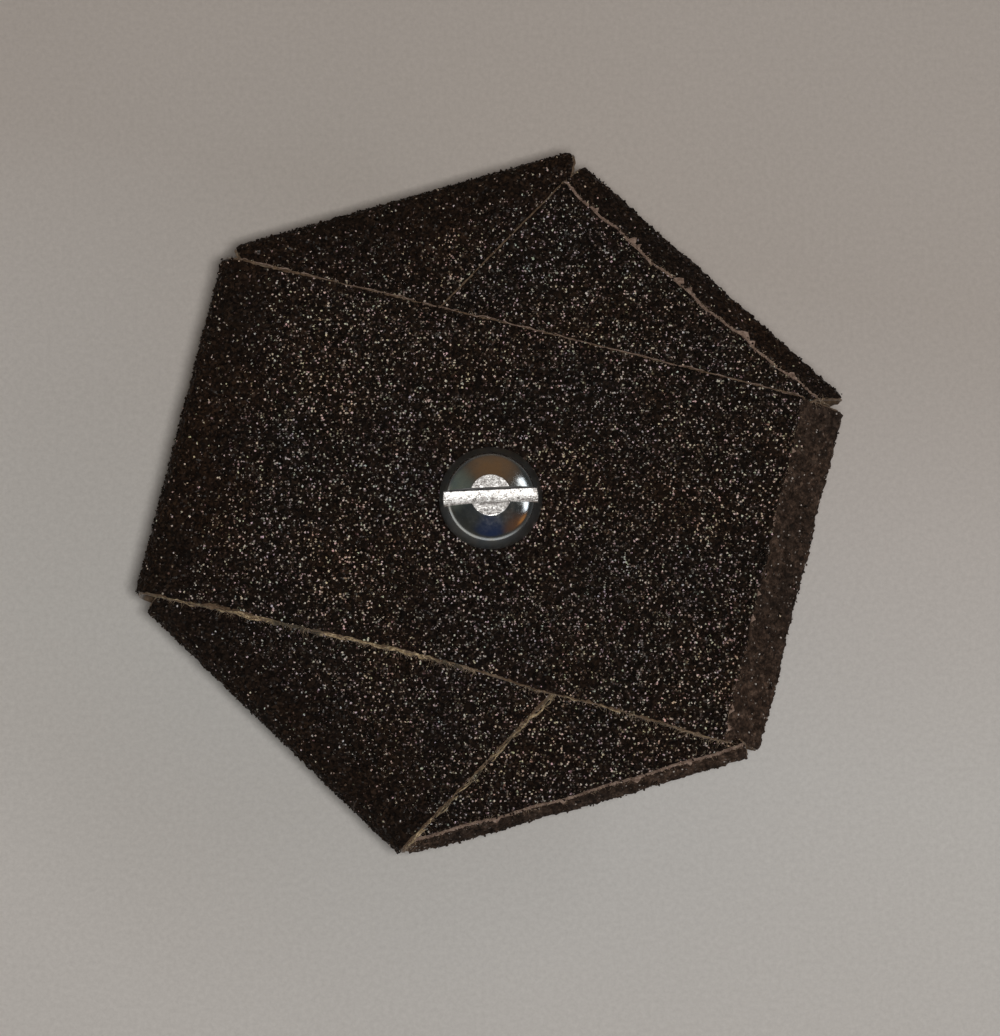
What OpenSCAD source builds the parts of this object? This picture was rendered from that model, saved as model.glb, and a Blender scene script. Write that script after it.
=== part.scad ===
// Hexagonal abrasive pad: three coarse abrasive-cloth straps wrapped round a
// six-sided backing core, clamped by a slotted mushroom-head screw with a wing
// nut, a split lock washer and a fender washer behind.
// Millimetres. +Z runs along the screw axis towards the head; the origin is the
// centre of the screw's free end.

/* [Straps] */
// Width of each abrasive strap
strap_w = 50.8; // [48:0.2:52]
// Thickness of the strap, cloth and grain together
strap_t = 0.8; // [0.6:0.05:0.9]
// Air left between two layers
lay_gap = 0.05; // [0.02:0.01:0.1]
// How far each strap end runs past the screw on the back
overlap = 14.3; // [13:0.1:18]
// Hole punched in the straps for the screw
strap_hole_d = 7.2; // [6.8:0.1:8]

/* [Outer strap folds] */
// Direction of the outer strap
outer_dir = -14; // [-20:1:-8]
// Reach of its rounded fold, to the middle of the cloth
outer_round = 46.1; // [45.2:0.1:46.4]
// Place of its front crease
outer_crease = 40.5; // [40.2:0.1:41.5]
// Reach of its creased nose
outer_nose = 46.3; // [45.4:0.1:46.8]

/* [Middle strap folds] */
// Reach of its rounded fold
middle_round = 45.3; // [44.8:0.1:46.2]
// Place of its front crease
middle_crease = 41.5; // [41.2:0.1:42]
// Reach of its creased nose
middle_nose = 46; // [44.8:0.1:46.4]

/* [Inner strap folds] */
// Reach of its rounded fold
inner_round = 46; // [44.6:0.1:46.4]
// Place of its front crease
inner_crease = 44; // [43.9:0.1:44.2]
// Reach of its creased nose
inner_nose = 45.8; // [45:0.1:46.2]

/* [Backing core] */
// Distance across the flats of the core
core_af = 86.4; // [84:0.2:86.8]
// Thickness of the core
core_t = 4.8; // [4.6:0.1:6.4]
// Bevel round its edges
core_bevel = 2; // [1.8:0.1:2.2]
// Radial clearance of the screw in the core's hole
core_fit = 0.075; // [0.03:0.005:0.1]

/* [Screw] */
// Major diameter of the thread
screw_d = 6.35; // [6.3:0.01:6.35]
// Length under the head
screw_len = 31.75; // [30:0.05:38.1]
// Diameter of the head
head_d = 14.9; // [14.2:0.1:15.2]
// Height of the head
head_h = 3.7; // [3.4:0.1:3.9]
// Diameter of the flat on top of the head
head_flat_d = 5.9; // [5:0.1:6.5]
// Height of the head's upright rim
head_rim = 0.45; // [0.3:0.05:0.6]
// Width of the slot
slot_w = 2.25; // [1.8:0.05:2.4]
// Depth of the slot
slot_depth = 2.3; // [2:0.05:2.8]
// Angle of the slot
slot_dir = 2.7; // [-10:0.1:10]

/* [Washers] */
// Outside diameter of the fender washer
fender_d = 25.4; // [22:0.1:28]
// Thickness of the fender washer
fender_t = 1.5; // [1.2:0.1:1.8]
// Hole in the fender washer
fender_hole_d = 7.1; // [6.8:0.1:7.4]
// Outside diameter of the split lock washer
lock_d = 12.4; // [12:0.1:12.8]
// Hole in the lock washer
lock_hole_d = 6.6; // [6.55:0.05:6.8]
// Thickness of the lock washer
lock_t = 1.57; // [1.4:0.01:1.7]
// Width of its split
lock_split = 0.8; // [0.6:0.1:1.2]

/* [Wing nut] */
// Height of the nut's hub
hub_h = 7.1; // [6.4:0.1:7.6]
// Diameter of the hub at the washer
hub_d = 13.6; // [12.8:0.1:14.4]
// Diameter of the hub at its free face
hub_top_d = 11.2; // [10.4:0.1:12]
// Tip to tip width over the wings
wing_span = 28.4; // [26:0.1:30]
// Height of the wing tips above the washer
wing_h = 12.9; // [12:0.1:14]
// Thickness of a wing
wing_t = 3.2; // [2.6:0.1:3.8]
// Radius of a wing's round tip
wing_r = 4.3; // [3.6:0.1:4.8]
// Radial clearance of the thread bore
nut_fit = 0.05; // [0.02:0.01:0.1]
// Direction of the wings at rest
wing_dir = 28; // [0:1:90]

/* [Hidden] */
$fn = 96;

seat = 0.02;                              // hairline left between clamped faces
pitch = strap_t + lay_gap;                // rise from one layer to the next
core_top = screw_len - seat - 3 * pitch;  // front face of the core
core_bot = core_top - core_t;             // back face of the core
back_z = core_bot - 6 * pitch;            // back of the clamped stack
fender_z = back_z - seat - fender_t;      // free face of the fender washer
lock_z = fender_z - seat - lock_t;        // free face of the lock washer
nut_z = lock_z - seat;                    // washer face of the wing nut
tip_bevel = 0.4;                          // bevel on the screw's free end
root_w = 0.6;                             // width of the one thread root kept
root_d = 0.4;                             // its depth
side = 0.15;                              // gap between two straps at a corner of the hexagon

// middle of the cloth at the front, and at the back for the end laid first (0)
// and the end laid over it (1); layer 1 is the inner strap, 3 the outer one
function front_z(k) = core_top + lay_gap + strap_t / 2 + (k - 1) * pitch;
function rear_z(k, e) = core_bot - lay_gap - strap_t / 2 - (2 * (k - 1) + e) * pitch;

function unit(v) = v / norm(v);
function turn(a) = a > 180 ? a - 360 : a < -180 ? a + 360 : a;

// an arc of radius r in the corner at b of the line a, b, c
function corner(a, b, c, r, n) =
    let (d1 = unit(a - b), d2 = unit(c - b),
         half = acos(max(-1, min(1, d1 * d2))) / 2,
         mid = b + unit(d1 + d2) * (r / sin(half)),
         p1 = b + d1 * (r / tan(half)), p2 = b + d2 * (r / tan(half)),
         a1 = atan2(p1[1] - mid[1], p1[0] - mid[0]),
         a2 = atan2(p2[1] - mid[1], p2[0] - mid[0]),
         sweep = turn(a2 - a1))
    [for (i = [0:n]) mid + r * [cos(a1 + sweep * i / n), sin(a1 + sweep * i / n)]];

// a line through pts with every inner corner rounded to the radius in rs
function rounded(pts, rs, n = 8) = concat(
    [pts[0]],
    [for (i = [1:len(pts) - 2]) each corner(pts[i - 1], pts[i], pts[i + 1], rs[i], n)],
    [pts[len(pts) - 1]]);

// the unit normal at point i of a line
function normal(p, i) =
    let (a = p[max(0, i - 1)], b = p[i], c = p[min(len(p) - 1, i + 1)],
         t1 = i == 0 ? unit(c - b) : unit(b - a),
         t2 = i == len(p) - 1 ? t1 : unit(c - b),
         m = unit(t1 + t2))
    [-m[1], m[0]] / max(0.5, m * t1);

// a band of thickness t along a line
function band(p, t) = concat(
    [for (i = [0:len(p) - 1]) p[i] + normal(p, i) * t / 2],
    [for (i = [len(p) - 1:-1:0]) p[i] - normal(p, i) * t / 2]);

// the path of one strap, from the end laid first, round its rounded fold,
// across the front, round its creased nose and back over the first end
function strap_path(k, round_u, round_r, crease, nose, drop, back_crease) = rounded(
    [[overlap, rear_z(k, 0)],
     [-round_u, rear_z(k, 0)],
     [-round_u, front_z(k)],
     [crease, front_z(k)],
     [nose, front_z(k) - drop],
     [back_crease, rear_z(k, 1)],
     [-overlap, rear_z(k, 1)]],
    [0, round_r, round_r, 0.8, 1.2, 0.8, 0]);

// plan of a strap: full width over the faces, kept in its own sixth of the
// hexagon from u0 outwards so that two folds never meet at a corner
function strap_plan(u0) =
    let (h = strap_w / 2, k = tan(30), g = side, u1 = (h + g) / k, e = 60)
    [[u0, h], [u0, u0 * k - g], [u1, h], [e, h],
     [e, -h], [u1, -h], [u0, g - u0 * k], [u0, -h],
     [-u0, -h], [-u0, g - u0 * k], [-u1, -h], [-e, -h],
     [-e, h], [-u1, h], [-u0, u0 * k - g], [-u0, h]];

module strap(dir, path, u0) {
    difference() {
        rotate([0, 0, dir]) intersection() {
            translate([0, strap_w / 2 + 1, 0]) rotate([90, 0, 0])
                linear_extrude(height = strap_w + 2) polygon(band(path, strap_t));
            linear_extrude(height = screw_len + 5) polygon(strap_plan(u0));
        }
        translate([0, 0, back_z - 5]) cylinder(h = screw_len, d = strap_hole_d);
    }
}

module strap_outer() {
    color([0.13, 0.10, 0.085])
        strap(outer_dir, strap_path(3, outer_round, 4, outer_crease, outer_nose, 5.6, 41.5), 40);
}

module strap_middle() {
    color([0.12, 0.095, 0.08])
        strap(outer_dir + 60, strap_path(2, middle_round, 3.4, middle_crease, middle_nose, 4, 42), 37);
}

module strap_inner() {
    color([0.11, 0.09, 0.075])
        strap(outer_dir - 60, strap_path(1, inner_round, 2.3, inner_crease, inner_nose, 2.6, 44), 37);
}

// one pair of flats of the core with its bevels, as a long bar
module core_bar() {
    a = core_af / 2;
    b = core_bevel;
    translate([0, core_af, 0]) rotate([90, 0, 0]) linear_extrude(height = 2 * core_af)
        polygon([[-a, core_bot + b], [-a + b, core_bot], [a - b, core_bot], [a, core_bot + b],
                 [a, core_top - b], [a - b, core_top], [-a + b, core_top], [-a, core_top - b]]);
}

module backing_core() {
    color([0.72, 0.55, 0.36]) difference() {
        intersection() {
            rotate([0, 0, outer_dir]) core_bar();
            rotate([0, 0, outer_dir + 60]) core_bar();
            rotate([0, 0, outer_dir - 60]) core_bar();
        }
        translate([0, 0, core_bot - 1]) cylinder(h = core_t + 2, d = screw_d + 2 * core_fit);
    }
}

// domed head with a flat top, cut through by the slot
module screw_head() {
    r = head_d / 2;
    f = head_flat_d / 2;
    zc = (f * f + head_h * head_h - r * r - head_rim * head_rim) / (2 * (head_h - head_rim));
    dome = sqrt(r * r + (head_rim - zc) * (head_rim - zc));
    difference() {
        intersection() {
            translate([0, 0, zc]) sphere(r = dome);
            cylinder(h = head_h, r = r);
        }
        rotate([0, 0, slot_dir])
            translate([-r - 1, -slot_w / 2, head_h - slot_depth])
                cube([2 * r + 2, slot_w, slot_depth + 1]);
    }
}

module clamp_screw() {
    color([0.74, 0.76, 0.78]) {
        difference() {
            union() {
                translate([0, 0, screw_len]) screw_head();
                translate([0, 0, tip_bevel]) cylinder(h = screw_len - tip_bevel + 0.5, d = screw_d);
                cylinder(h = tip_bevel, d1 = screw_d - 2 * tip_bevel, d2 = screw_d);
            }
            // the thread root at the nut's free face, where the free end starts
            translate([0, 0, nut_z - hub_h - root_w - 0.1]) difference() {
                cylinder(h = root_w, d = screw_d + 2);
                translate([0, 0, -1]) cylinder(h = root_w + 2, d = screw_d - 2 * root_d);
            }
        }
    }
}

module fender_washer() {
    color([0.72, 0.74, 0.76]) translate([0, 0, fender_z]) difference() {
        cylinder(h = fender_t, d = fender_d);
        translate([0, 0, -1]) cylinder(h = fender_t + 2, d = fender_hole_d);
    }
}

module lock_washer() {
    color([0.66, 0.68, 0.70]) translate([0, 0, lock_z]) difference() {
        cylinder(h = lock_t, d = lock_d);
        translate([0, 0, -1]) cylinder(h = lock_t + 2, d = lock_hole_d);
        // the split is cut at a slant across the ring
        rotate([0, 0, 200]) translate([lock_d / 4 + lock_hole_d / 4, 0, lock_t / 2]) rotate([25, 0, 0])
            cube([lock_d, lock_split, 3 * lock_t], center = true);
    }
}

// outline of one wing, in the plane of the screw axis
module wing_outline() {
    x = wing_span / 2 - wing_r;
    z = wing_h - wing_r;
    translate([x, z]) circle(r = wing_r);
    polygon([[3.4, 0.9], [hub_d / 2 + 0.3, 0.9],
             [x + wing_r * cos(-28), z + wing_r * sin(-28)],
             [x + wing_r * cos(152), z + wing_r * sin(152)],
             [hub_top_d / 2 - 0.9, hub_h - 0.4], [3.4, hub_h - 0.4]]);
}

module wing_nut() {
    color([0.76, 0.77, 0.78]) translate([0, 0, nut_z]) rotate([180, 0, wing_dir]) difference() {
        union() {
            cylinder(h = hub_h, d1 = hub_d, d2 = hub_top_d);
            for (s = [0, 180]) rotate([0, 0, s])
                translate([0, wing_t / 2, 0]) rotate([90, 0, 0])
                    linear_extrude(height = wing_t) wing_outline();
        }
        translate([0, 0, -1]) cylinder(h = wing_h + 2, d = screw_d + 2 * nut_fit);
    }
}

clamp_screw();
strap_outer();
strap_middle();
strap_inner();
backing_core();
fender_washer();
lock_washer();
wing_nut();
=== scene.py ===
import math

import bpy
import numpy as np
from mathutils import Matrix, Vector


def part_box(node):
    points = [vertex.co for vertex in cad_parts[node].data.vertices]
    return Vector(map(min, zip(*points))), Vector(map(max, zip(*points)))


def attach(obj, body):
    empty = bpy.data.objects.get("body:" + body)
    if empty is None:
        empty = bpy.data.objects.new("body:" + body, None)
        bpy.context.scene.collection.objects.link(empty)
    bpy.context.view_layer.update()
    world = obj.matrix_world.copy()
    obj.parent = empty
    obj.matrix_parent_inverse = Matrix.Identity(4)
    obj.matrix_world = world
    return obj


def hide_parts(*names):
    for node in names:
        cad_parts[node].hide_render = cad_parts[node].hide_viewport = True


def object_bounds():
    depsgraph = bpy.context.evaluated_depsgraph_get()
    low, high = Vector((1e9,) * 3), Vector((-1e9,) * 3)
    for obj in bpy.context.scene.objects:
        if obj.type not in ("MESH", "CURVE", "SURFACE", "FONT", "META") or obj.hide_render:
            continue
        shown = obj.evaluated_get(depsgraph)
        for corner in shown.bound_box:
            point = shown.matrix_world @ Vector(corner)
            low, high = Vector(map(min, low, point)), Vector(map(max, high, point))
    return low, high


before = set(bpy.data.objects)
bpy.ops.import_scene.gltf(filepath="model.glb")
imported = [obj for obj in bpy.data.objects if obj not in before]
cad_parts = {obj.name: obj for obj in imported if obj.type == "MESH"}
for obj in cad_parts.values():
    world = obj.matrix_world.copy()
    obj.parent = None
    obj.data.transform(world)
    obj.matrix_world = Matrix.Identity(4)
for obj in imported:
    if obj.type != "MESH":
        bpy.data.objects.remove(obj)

CAD_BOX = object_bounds()
MM = 0.001
STRAP_T = 0.8          # thickness of a strap, mm
PITCH = 0.85           # rise from one layer to the next, mm
STRAP_W = 50.8
OVERLAP = 14.3
AXIS_HOLE = 3.6        # radius of the hole punched in each strap
OUTER_DIR = -14.0


# ------------------------------------------------------------------ helpers
def new_object(name, verts_mm, faces, mats, face_mat=None, smooth=False):
    """A mesh object from points in millimetres and an array of triangles or a list of faces."""
    me = bpy.data.meshes.new(name)
    if isinstance(faces, np.ndarray):
        n, k = faces.shape
        me.vertices.add(len(verts_mm))
        me.vertices.foreach_set("co", (np.asarray(verts_mm, float) * MM).astype(np.float32).ravel())
        me.loops.add(n * k)
        me.loops.foreach_set("vertex_index", faces.astype(np.int32).ravel())
        me.polygons.add(n)
        me.polygons.foreach_set("loop_start", np.arange(0, n * k, k, dtype=np.int32))
        me.update(calc_edges=True)
    else:
        me.from_pydata([tuple(float(c) * MM for c in v) for v in verts_mm], [], faces)
        me.update()
    for m in mats:
        me.materials.append(m)
    if face_mat is not None:
        me.polygons.foreach_set("material_index", np.asarray(face_mat, np.int32))
    me.polygons.foreach_set("use_smooth", np.full(len(me.polygons), smooth, bool))
    me.validate()
    me.update()
    ob = bpy.data.objects.new(name, me)
    bpy.context.scene.collection.objects.link(ob)
    return ob


def apply_modifiers(ob):
    dg = bpy.context.evaluated_depsgraph_get()
    me = bpy.data.meshes.new_from_object(ob.evaluated_get(dg), depsgraph=dg)
    me.name = ob.name
    ob.modifiers.clear()
    old = ob.data
    ob.data = me
    bpy.data.meshes.remove(old)
    return ob


def cut(ob, tool, solver="MANIFOLD"):
    m = ob.modifiers.new("cut", "BOOLEAN")
    m.operation = "DIFFERENCE"
    m.object = tool
    m.solver = solver
    apply_modifiers(ob)
    return ob


def remove(ob):
    me = ob.data
    bpy.data.objects.remove(ob)
    bpy.data.meshes.remove(me)


def lathe(name, profile, n, mats, smooth=True, close=True):
    """A closed solid of revolution round Z from (r, z) points in mm, from the axis or as a ring."""
    prof = np.array(profile, float)
    ring = prof[0][0] > 1e-6 and prof[-1][0] > 1e-6
    verts, faces, rows = [], [], []
    for r, z in prof:
        if r < 1e-6:
            rows.append([len(verts)])
            verts.append((0, 0, z))
        else:
            rows.append(list(range(len(verts), len(verts) + n)))
            verts += [(r * math.cos(2 * math.pi * i / n), r * math.sin(2 * math.pi * i / n), z) for i in range(n)]
    pairs = list(zip(rows, rows[1:]))
    if ring:
        pairs.append((rows[-1], rows[0]))
    for a, b in pairs:
        for i in range(n):
            j = (i + 1) % n
            if len(a) == 1 and len(b) == 1:
                continue
            if len(a) == 1:
                faces.append((a[0], b[j], b[i]))
            elif len(b) == 1:
                faces.append((a[i], a[j], b[0]))
            else:
                faces.append((a[i], a[j], b[j], b[i]))
    return new_object(name, verts, faces, mats, smooth=smooth)


def bevel_normals(ob, angle=35):
    """Smooth shading that keeps edges sharper than the angle."""
    me = ob.data
    me.polygons.foreach_set("use_smooth", np.ones(len(me.polygons), bool))
    import bmesh
    bm = bmesh.new()
    bm.from_mesh(me)
    for e in bm.edges:
        if len(e.link_faces) == 2 and e.calc_face_angle(0) > math.radians(angle):
            e.smooth = False
    bm.to_mesh(me)
    bm.free()
    return ob


# ---------------------------------------------------------------- materials
def material(name):
    m = bpy.data.materials.new(name)
    m.use_nodes = True
    nt = m.node_tree
    nt.nodes.clear()
    out = nt.nodes.new("ShaderNodeOutputMaterial")
    bsdf = nt.nodes.new("ShaderNodeBsdfPrincipled")
    nt.links.new(bsdf.outputs["BSDF"], out.inputs["Surface"])
    return m, nt, bsdf


def coords(nt):
    tc = nt.nodes.new("ShaderNodeTexCoord")
    return tc.outputs["Object"]


def noise(nt, vec, scale, detail=4.0, rough=0.55, distortion=0.0):
    n = nt.nodes.new("ShaderNodeTexNoise")
    n.inputs["Scale"].default_value = scale
    n.inputs["Detail"].default_value = detail
    n.inputs["Roughness"].default_value = rough
    n.inputs["Distortion"].default_value = distortion
    nt.links.new(vec, n.inputs["Vector"])
    return n


def voronoi(nt, vec, scale, feature="F1", randomness=1.0):
    n = nt.nodes.new("ShaderNodeTexVoronoi")
    n.feature = feature
    n.inputs["Scale"].default_value = scale
    n.inputs["Randomness"].default_value = randomness
    nt.links.new(vec, n.inputs["Vector"])
    return n


def ramp(nt, fac, stops, interp="LINEAR"):
    r = nt.nodes.new("ShaderNodeValToRGB")
    r.color_ramp.interpolation = interp
    els = r.color_ramp.elements
    while len(els) > 1:
        els.remove(els[-1])
    els[0].position, els[0].color = stops[0][0], (*stops[0][1], 1.0)
    for p, c in stops[1:]:
        e = els.new(p)
        e.color = (*c, 1.0)
    nt.links.new(fac, r.inputs["Fac"])
    return r


def grey(v):
    return (v, v, v)


def mix(nt, fac, a, b, blend="MIX"):
    m = nt.nodes.new("ShaderNodeMix")
    m.data_type = "RGBA"
    m.blend_type = blend
    m.clamp_factor = True
    if isinstance(fac, float):
        m.inputs[0].default_value = fac
    else:
        nt.links.new(fac, m.inputs[0])
    for s, v in ((6, a), (7, b)):
        if isinstance(v, tuple):
            m.inputs[s].default_value = (*v, 1.0)
        else:
            nt.links.new(v, m.inputs[s])
    return m.outputs[2]


def math_node(nt, op, a, b=None):
    n = nt.nodes.new("ShaderNodeMath")
    n.operation = op
    for i, v in enumerate((a, b)):
        if v is None:
            continue
        if isinstance(v, (int, float)):
            n.inputs[i].default_value = v
        else:
            nt.links.new(v, n.inputs[i])
    return n.outputs[0]


def bump(nt, height, strength, distance, normal=None):
    b = nt.nodes.new("ShaderNodeBump")
    b.inputs["Strength"].default_value = strength
    b.inputs["Distance"].default_value = distance
    nt.links.new(height, b.inputs["Height"])
    if normal is not None:
        nt.links.new(normal, b.inputs["Normal"])
    return b.outputs["Normal"]


def grit_material(name="abrasive_grain", base=0.76, sparkle=0.62, rough=0.78):
    """Brown-black grain in dark resin; here and there a crystal face is bare, paler and glassy, drawn as a pale to
    near-white spot that is also a painted glint.
    """
    m, nt, p = material(name)
    v = coords(nt)
    # crystals are not round: bend the space they are drawn in
    wob = noise(nt, v, 4200.0, 1.0)
    off = nt.nodes.new("ShaderNodeVectorMath")
    off.operation = "MULTIPLY_ADD"
    nt.links.new(wob.outputs["Color"], off.inputs[0])
    off.inputs[1].default_value = (0.00036, 0.00036, 0.00036)
    nt.links.new(v, off.inputs[2])
    cells = voronoi(nt, off.outputs[0], 3000.0)
    sep = nt.nodes.new("ShaderNodeSeparateColor")
    nt.links.new(cells.outputs["Color"], sep.inputs["Color"])
    dark = ramp(nt, sep.outputs[0], [(0.0, (0.0036 * base, 0.0020 * base, 0.0012 * base)), (0.40, (0.0100 * base, 0.0058 * base, 0.0036 * base)),
                                     (0.80, (0.021 * base, 0.0128 * base, 0.0082 * base)), (1.0, (0.043 * base, 0.028 * base, 0.019 * base))])
    # bare crystals, painted as glints too: a round pale to near-white spot in some of the cells
    spot = ramp(nt, cells.outputs["Distance"], [(0.36, grey(1.0)), (0.50, grey(0.0))])
    chosen = ramp(nt, sep.outputs[1], [(sparkle, grey(0.0)), (min(0.999, sparkle + 0.02), grey(1.0))])
    crystal_glint_mask = math_node(nt, "MULTIPLY", spot.outputs["Color"], chosen.outputs["Color"])
    pale_crystal_and_glint = ramp(nt, sep.outputs[2], [(0.0, (0.060, 0.045, 0.038)), (0.35, (0.15, 0.12, 0.105)), (0.58, (0.36, 0.32, 0.295)),
                                       (0.78, (0.78, 0.74, 0.71)), (0.93, (1.0, 0.98, 0.96))])
    hue = voronoi(nt, v, 1900.0)
    tint = mix(nt, 0.27, (1.0, 1.0, 1.0), hue.outputs["Color"])
    pale_crystal_and_glint_tinted = mix(nt, 1.0, pale_crystal_and_glint.outputs["Color"], tint, "MULTIPLY")
    tone = noise(nt, v, 85.0, 3.0)
    shade = ramp(nt, tone.outputs["Fac"], [(0.35, (0.86, 0.82, 0.83)), (0.65, (1.14, 0.95, 0.79))])
    col = mix(nt, 1.0, mix(nt, crystal_glint_mask, dark.outputs["Color"], pale_crystal_and_glint_tinted), shade.outputs["Color"], "MULTIPLY")
    nt.links.new(col, p.inputs["Base Color"])
    gloss = ramp(nt, sep.outputs[1], [(0.0, grey(rough + 0.12)), (0.74, grey(rough)), (0.80, grey(0.42)), (1.0, grey(0.29))])
    nt.links.new(gloss.outputs["Color"], p.inputs["Roughness"])
    p.inputs["Specular IOR Level"].default_value = 0.17
    fine = noise(nt, v, 9000.0, 2.0)
    nt.links.new(bump(nt, fine.outputs["Fac"], 0.35, 0.00006), p.inputs["Normal"])
    return m


def worn_material():
    """Past a crease: resin and cloth dust rubbed over broken grain, dull brown with streaks across the fold, and
    sparse pale specks that are painted glints.
    """
    m, nt, p = material("abrasive_worn")
    v = coords(nt)
    cells = voronoi(nt, v, 2600.0)
    sep = nt.nodes.new("ShaderNodeSeparateColor")
    nt.links.new(cells.outputs["Color"], sep.inputs["Color"])
    mp = nt.nodes.new("ShaderNodeMapping")
    mp.inputs["Scale"].default_value = (1.0, 1.0, 0.25)
    nt.links.new(v, mp.inputs["Vector"])
    streak = noise(nt, mp.outputs["Vector"], 950.0, 4.0, 0.7)
    cloud = noise(nt, v, 95.0, 3.0, 0.6)
    base = ramp(nt, streak.outputs["Fac"], [(0.30, (0.013, 0.0082, 0.0058)), (0.50, (0.042, 0.0270, 0.0198)), (0.72, (0.105, 0.073, 0.056))])
    shade = ramp(nt, cloud.outputs["Fac"], [(0.35, grey(0.78)), (0.65, (1.25, 1.2, 1.15))])
    # sparse pale specks: bare crystals and painted glints, fewer than on the front grain
    spot = ramp(nt, cells.outputs["Distance"], [(0.30, grey(1.0)), (0.42, grey(0.0))])
    chosen = ramp(nt, sep.outputs[1], [(0.86, grey(0.0)), (0.88, grey(1.0))])
    crystal_glint_mask = math_node(nt, "MULTIPLY", spot.outputs["Color"], chosen.outputs["Color"])
    pale_crystal_and_glint = ramp(nt, sep.outputs[2], [(0.0, (0.06, 0.045, 0.038)), (0.6, (0.17, 0.14, 0.12)), (0.95, (0.66, 0.61, 0.57))])
    each = ramp(nt, sep.outputs[0], [(0.0, grey(0.55)), (0.5, grey(0.95)), (1.0, grey(1.75))])
    ground = mix(nt, 1.0, mix(nt, 1.0, base.outputs["Color"], shade.outputs["Color"], "MULTIPLY"), each.outputs["Color"], "MULTIPLY")
    col = mix(nt, crystal_glint_mask, ground, pale_crystal_and_glint.outputs["Color"])
    nt.links.new(col, p.inputs["Base Color"])
    r = ramp(nt, sep.outputs[0], [(0.0, grey(0.70)), (1.0, grey(0.92))])
    nt.links.new(r.outputs["Color"], p.inputs["Roughness"])
    p.inputs["Specular IOR Level"].default_value = 0.15
    nt.links.new(bump(nt, streak.outputs["Fac"], 0.5, 0.0001), p.inputs["Normal"])
    return m


def crease_material(name, light):
    """Cloth laid bare where the coat cracked: pinkish tan, stained by resin."""
    m, nt, p = material(name)
    v = coords(nt)
    tone = noise(nt, v, 1500.0, 4.0, 0.7)
    base = ramp(nt, tone.outputs["Fac"], [(0.28, (0.085 * light, 0.055 * light, 0.042 * light)), (0.48, (0.24 * light, 0.165 * light, 0.13 * light)),
                                          (0.70, (0.44 * light, 0.335 * light, 0.28 * light))])
    nt.links.new(base.outputs["Color"], p.inputs["Base Color"])
    p.inputs["Roughness"].default_value = 0.85
    p.inputs["Specular IOR Level"].default_value = 0.2
    nt.links.new(bump(nt, tone.outputs["Fac"], 0.5, 0.0001), p.inputs["Normal"])
    return m


def yarn_material():
    """Olive-tan cotton yarn, twisted, with lighter loose fibre."""
    m, nt, p = material("cotton_yarn")
    v = coords(nt)
    tone = noise(nt, v, 2200.0, 4.0, 0.7)
    patch = noise(nt, v, 230.0, 3.0, 0.6)
    base = ramp(nt, tone.outputs["Fac"], [(0.30, (0.085, 0.055, 0.026)), (0.48, (0.30, 0.215, 0.115)), (0.68, (0.72, 0.58, 0.38))])
    shade = ramp(nt, patch.outputs["Fac"], [(0.40, grey(0.22)), (0.56, grey(1.30))])
    nt.links.new(mix(nt, 1.0, base.outputs["Color"], shade.outputs["Color"], "MULTIPLY"), p.inputs["Base Color"])
    p.inputs["Roughness"].default_value = 0.8
    p.inputs["Sheen Weight"].default_value = 0.2
    nt.links.new(bump(nt, tone.outputs["Fac"], 0.6, 0.0001), p.inputs["Normal"])
    return m


def cloth_material(name="backing_cloth", light=1.0, scale=2400.0):
    """Tan cotton drill, woven, soaked with size."""
    m, nt, p = material(name)
    v = coords(nt)
    wx = nt.nodes.new("ShaderNodeTexWave")
    wx.wave_type, wx.bands_direction = "BANDS", "X"
    wx.inputs["Scale"].default_value = scale / 6.2
    wx.inputs["Distortion"].default_value = 1.5
    nt.links.new(v, wx.inputs["Vector"])
    wy = nt.nodes.new("ShaderNodeTexWave")
    wy.wave_type, wy.bands_direction = "BANDS", "Y"
    wy.inputs["Scale"].default_value = scale / 6.2
    wy.inputs["Distortion"].default_value = 1.5
    nt.links.new(v, wy.inputs["Vector"])
    weave = math_node(nt, "MULTIPLY", wx.outputs["Fac"], wy.outputs["Fac"])
    tone = noise(nt, v, 420.0, 5.0, 0.65)
    base = ramp(nt, tone.outputs["Fac"], [(0.25, (0.13 * light, 0.075 * light, 0.040 * light)),
                                          (0.5, (0.30 * light, 0.195 * light, 0.12 * light)),
                                          (0.75, (0.52 * light, 0.40 * light, 0.29 * light))])
    shade = ramp(nt, weave, [(0.0, grey(0.7)), (0.6, grey(1.05))])
    col = mix(nt, 1.0, base.outputs["Color"], shade.outputs["Color"], "MULTIPLY")
    nt.links.new(col, p.inputs["Base Color"])
    p.inputs["Roughness"].default_value = 0.86
    p.inputs["Specular IOR Level"].default_value = 0.25
    p.inputs["Sheen Weight"].default_value = 0.25
    nt.links.new(bump(nt, weave, 0.5, 0.00012), p.inputs["Normal"])
    return m


def fibre_material():
    m, nt, p = material("cotton_fibre")
    v = coords(nt)
    tone = noise(nt, v, 900.0, 3.0, 0.6)
    base = ramp(nt, tone.outputs["Fac"], [(0.3, (0.34, 0.22, 0.12)), (0.55, (0.58, 0.43, 0.29)), (0.8, (0.80, 0.68, 0.56))])
    nt.links.new(base.outputs["Color"], p.inputs["Base Color"])
    p.inputs["Roughness"].default_value = 0.7
    p.inputs["Sheen Weight"].default_value = 0.3
    return m


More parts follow.
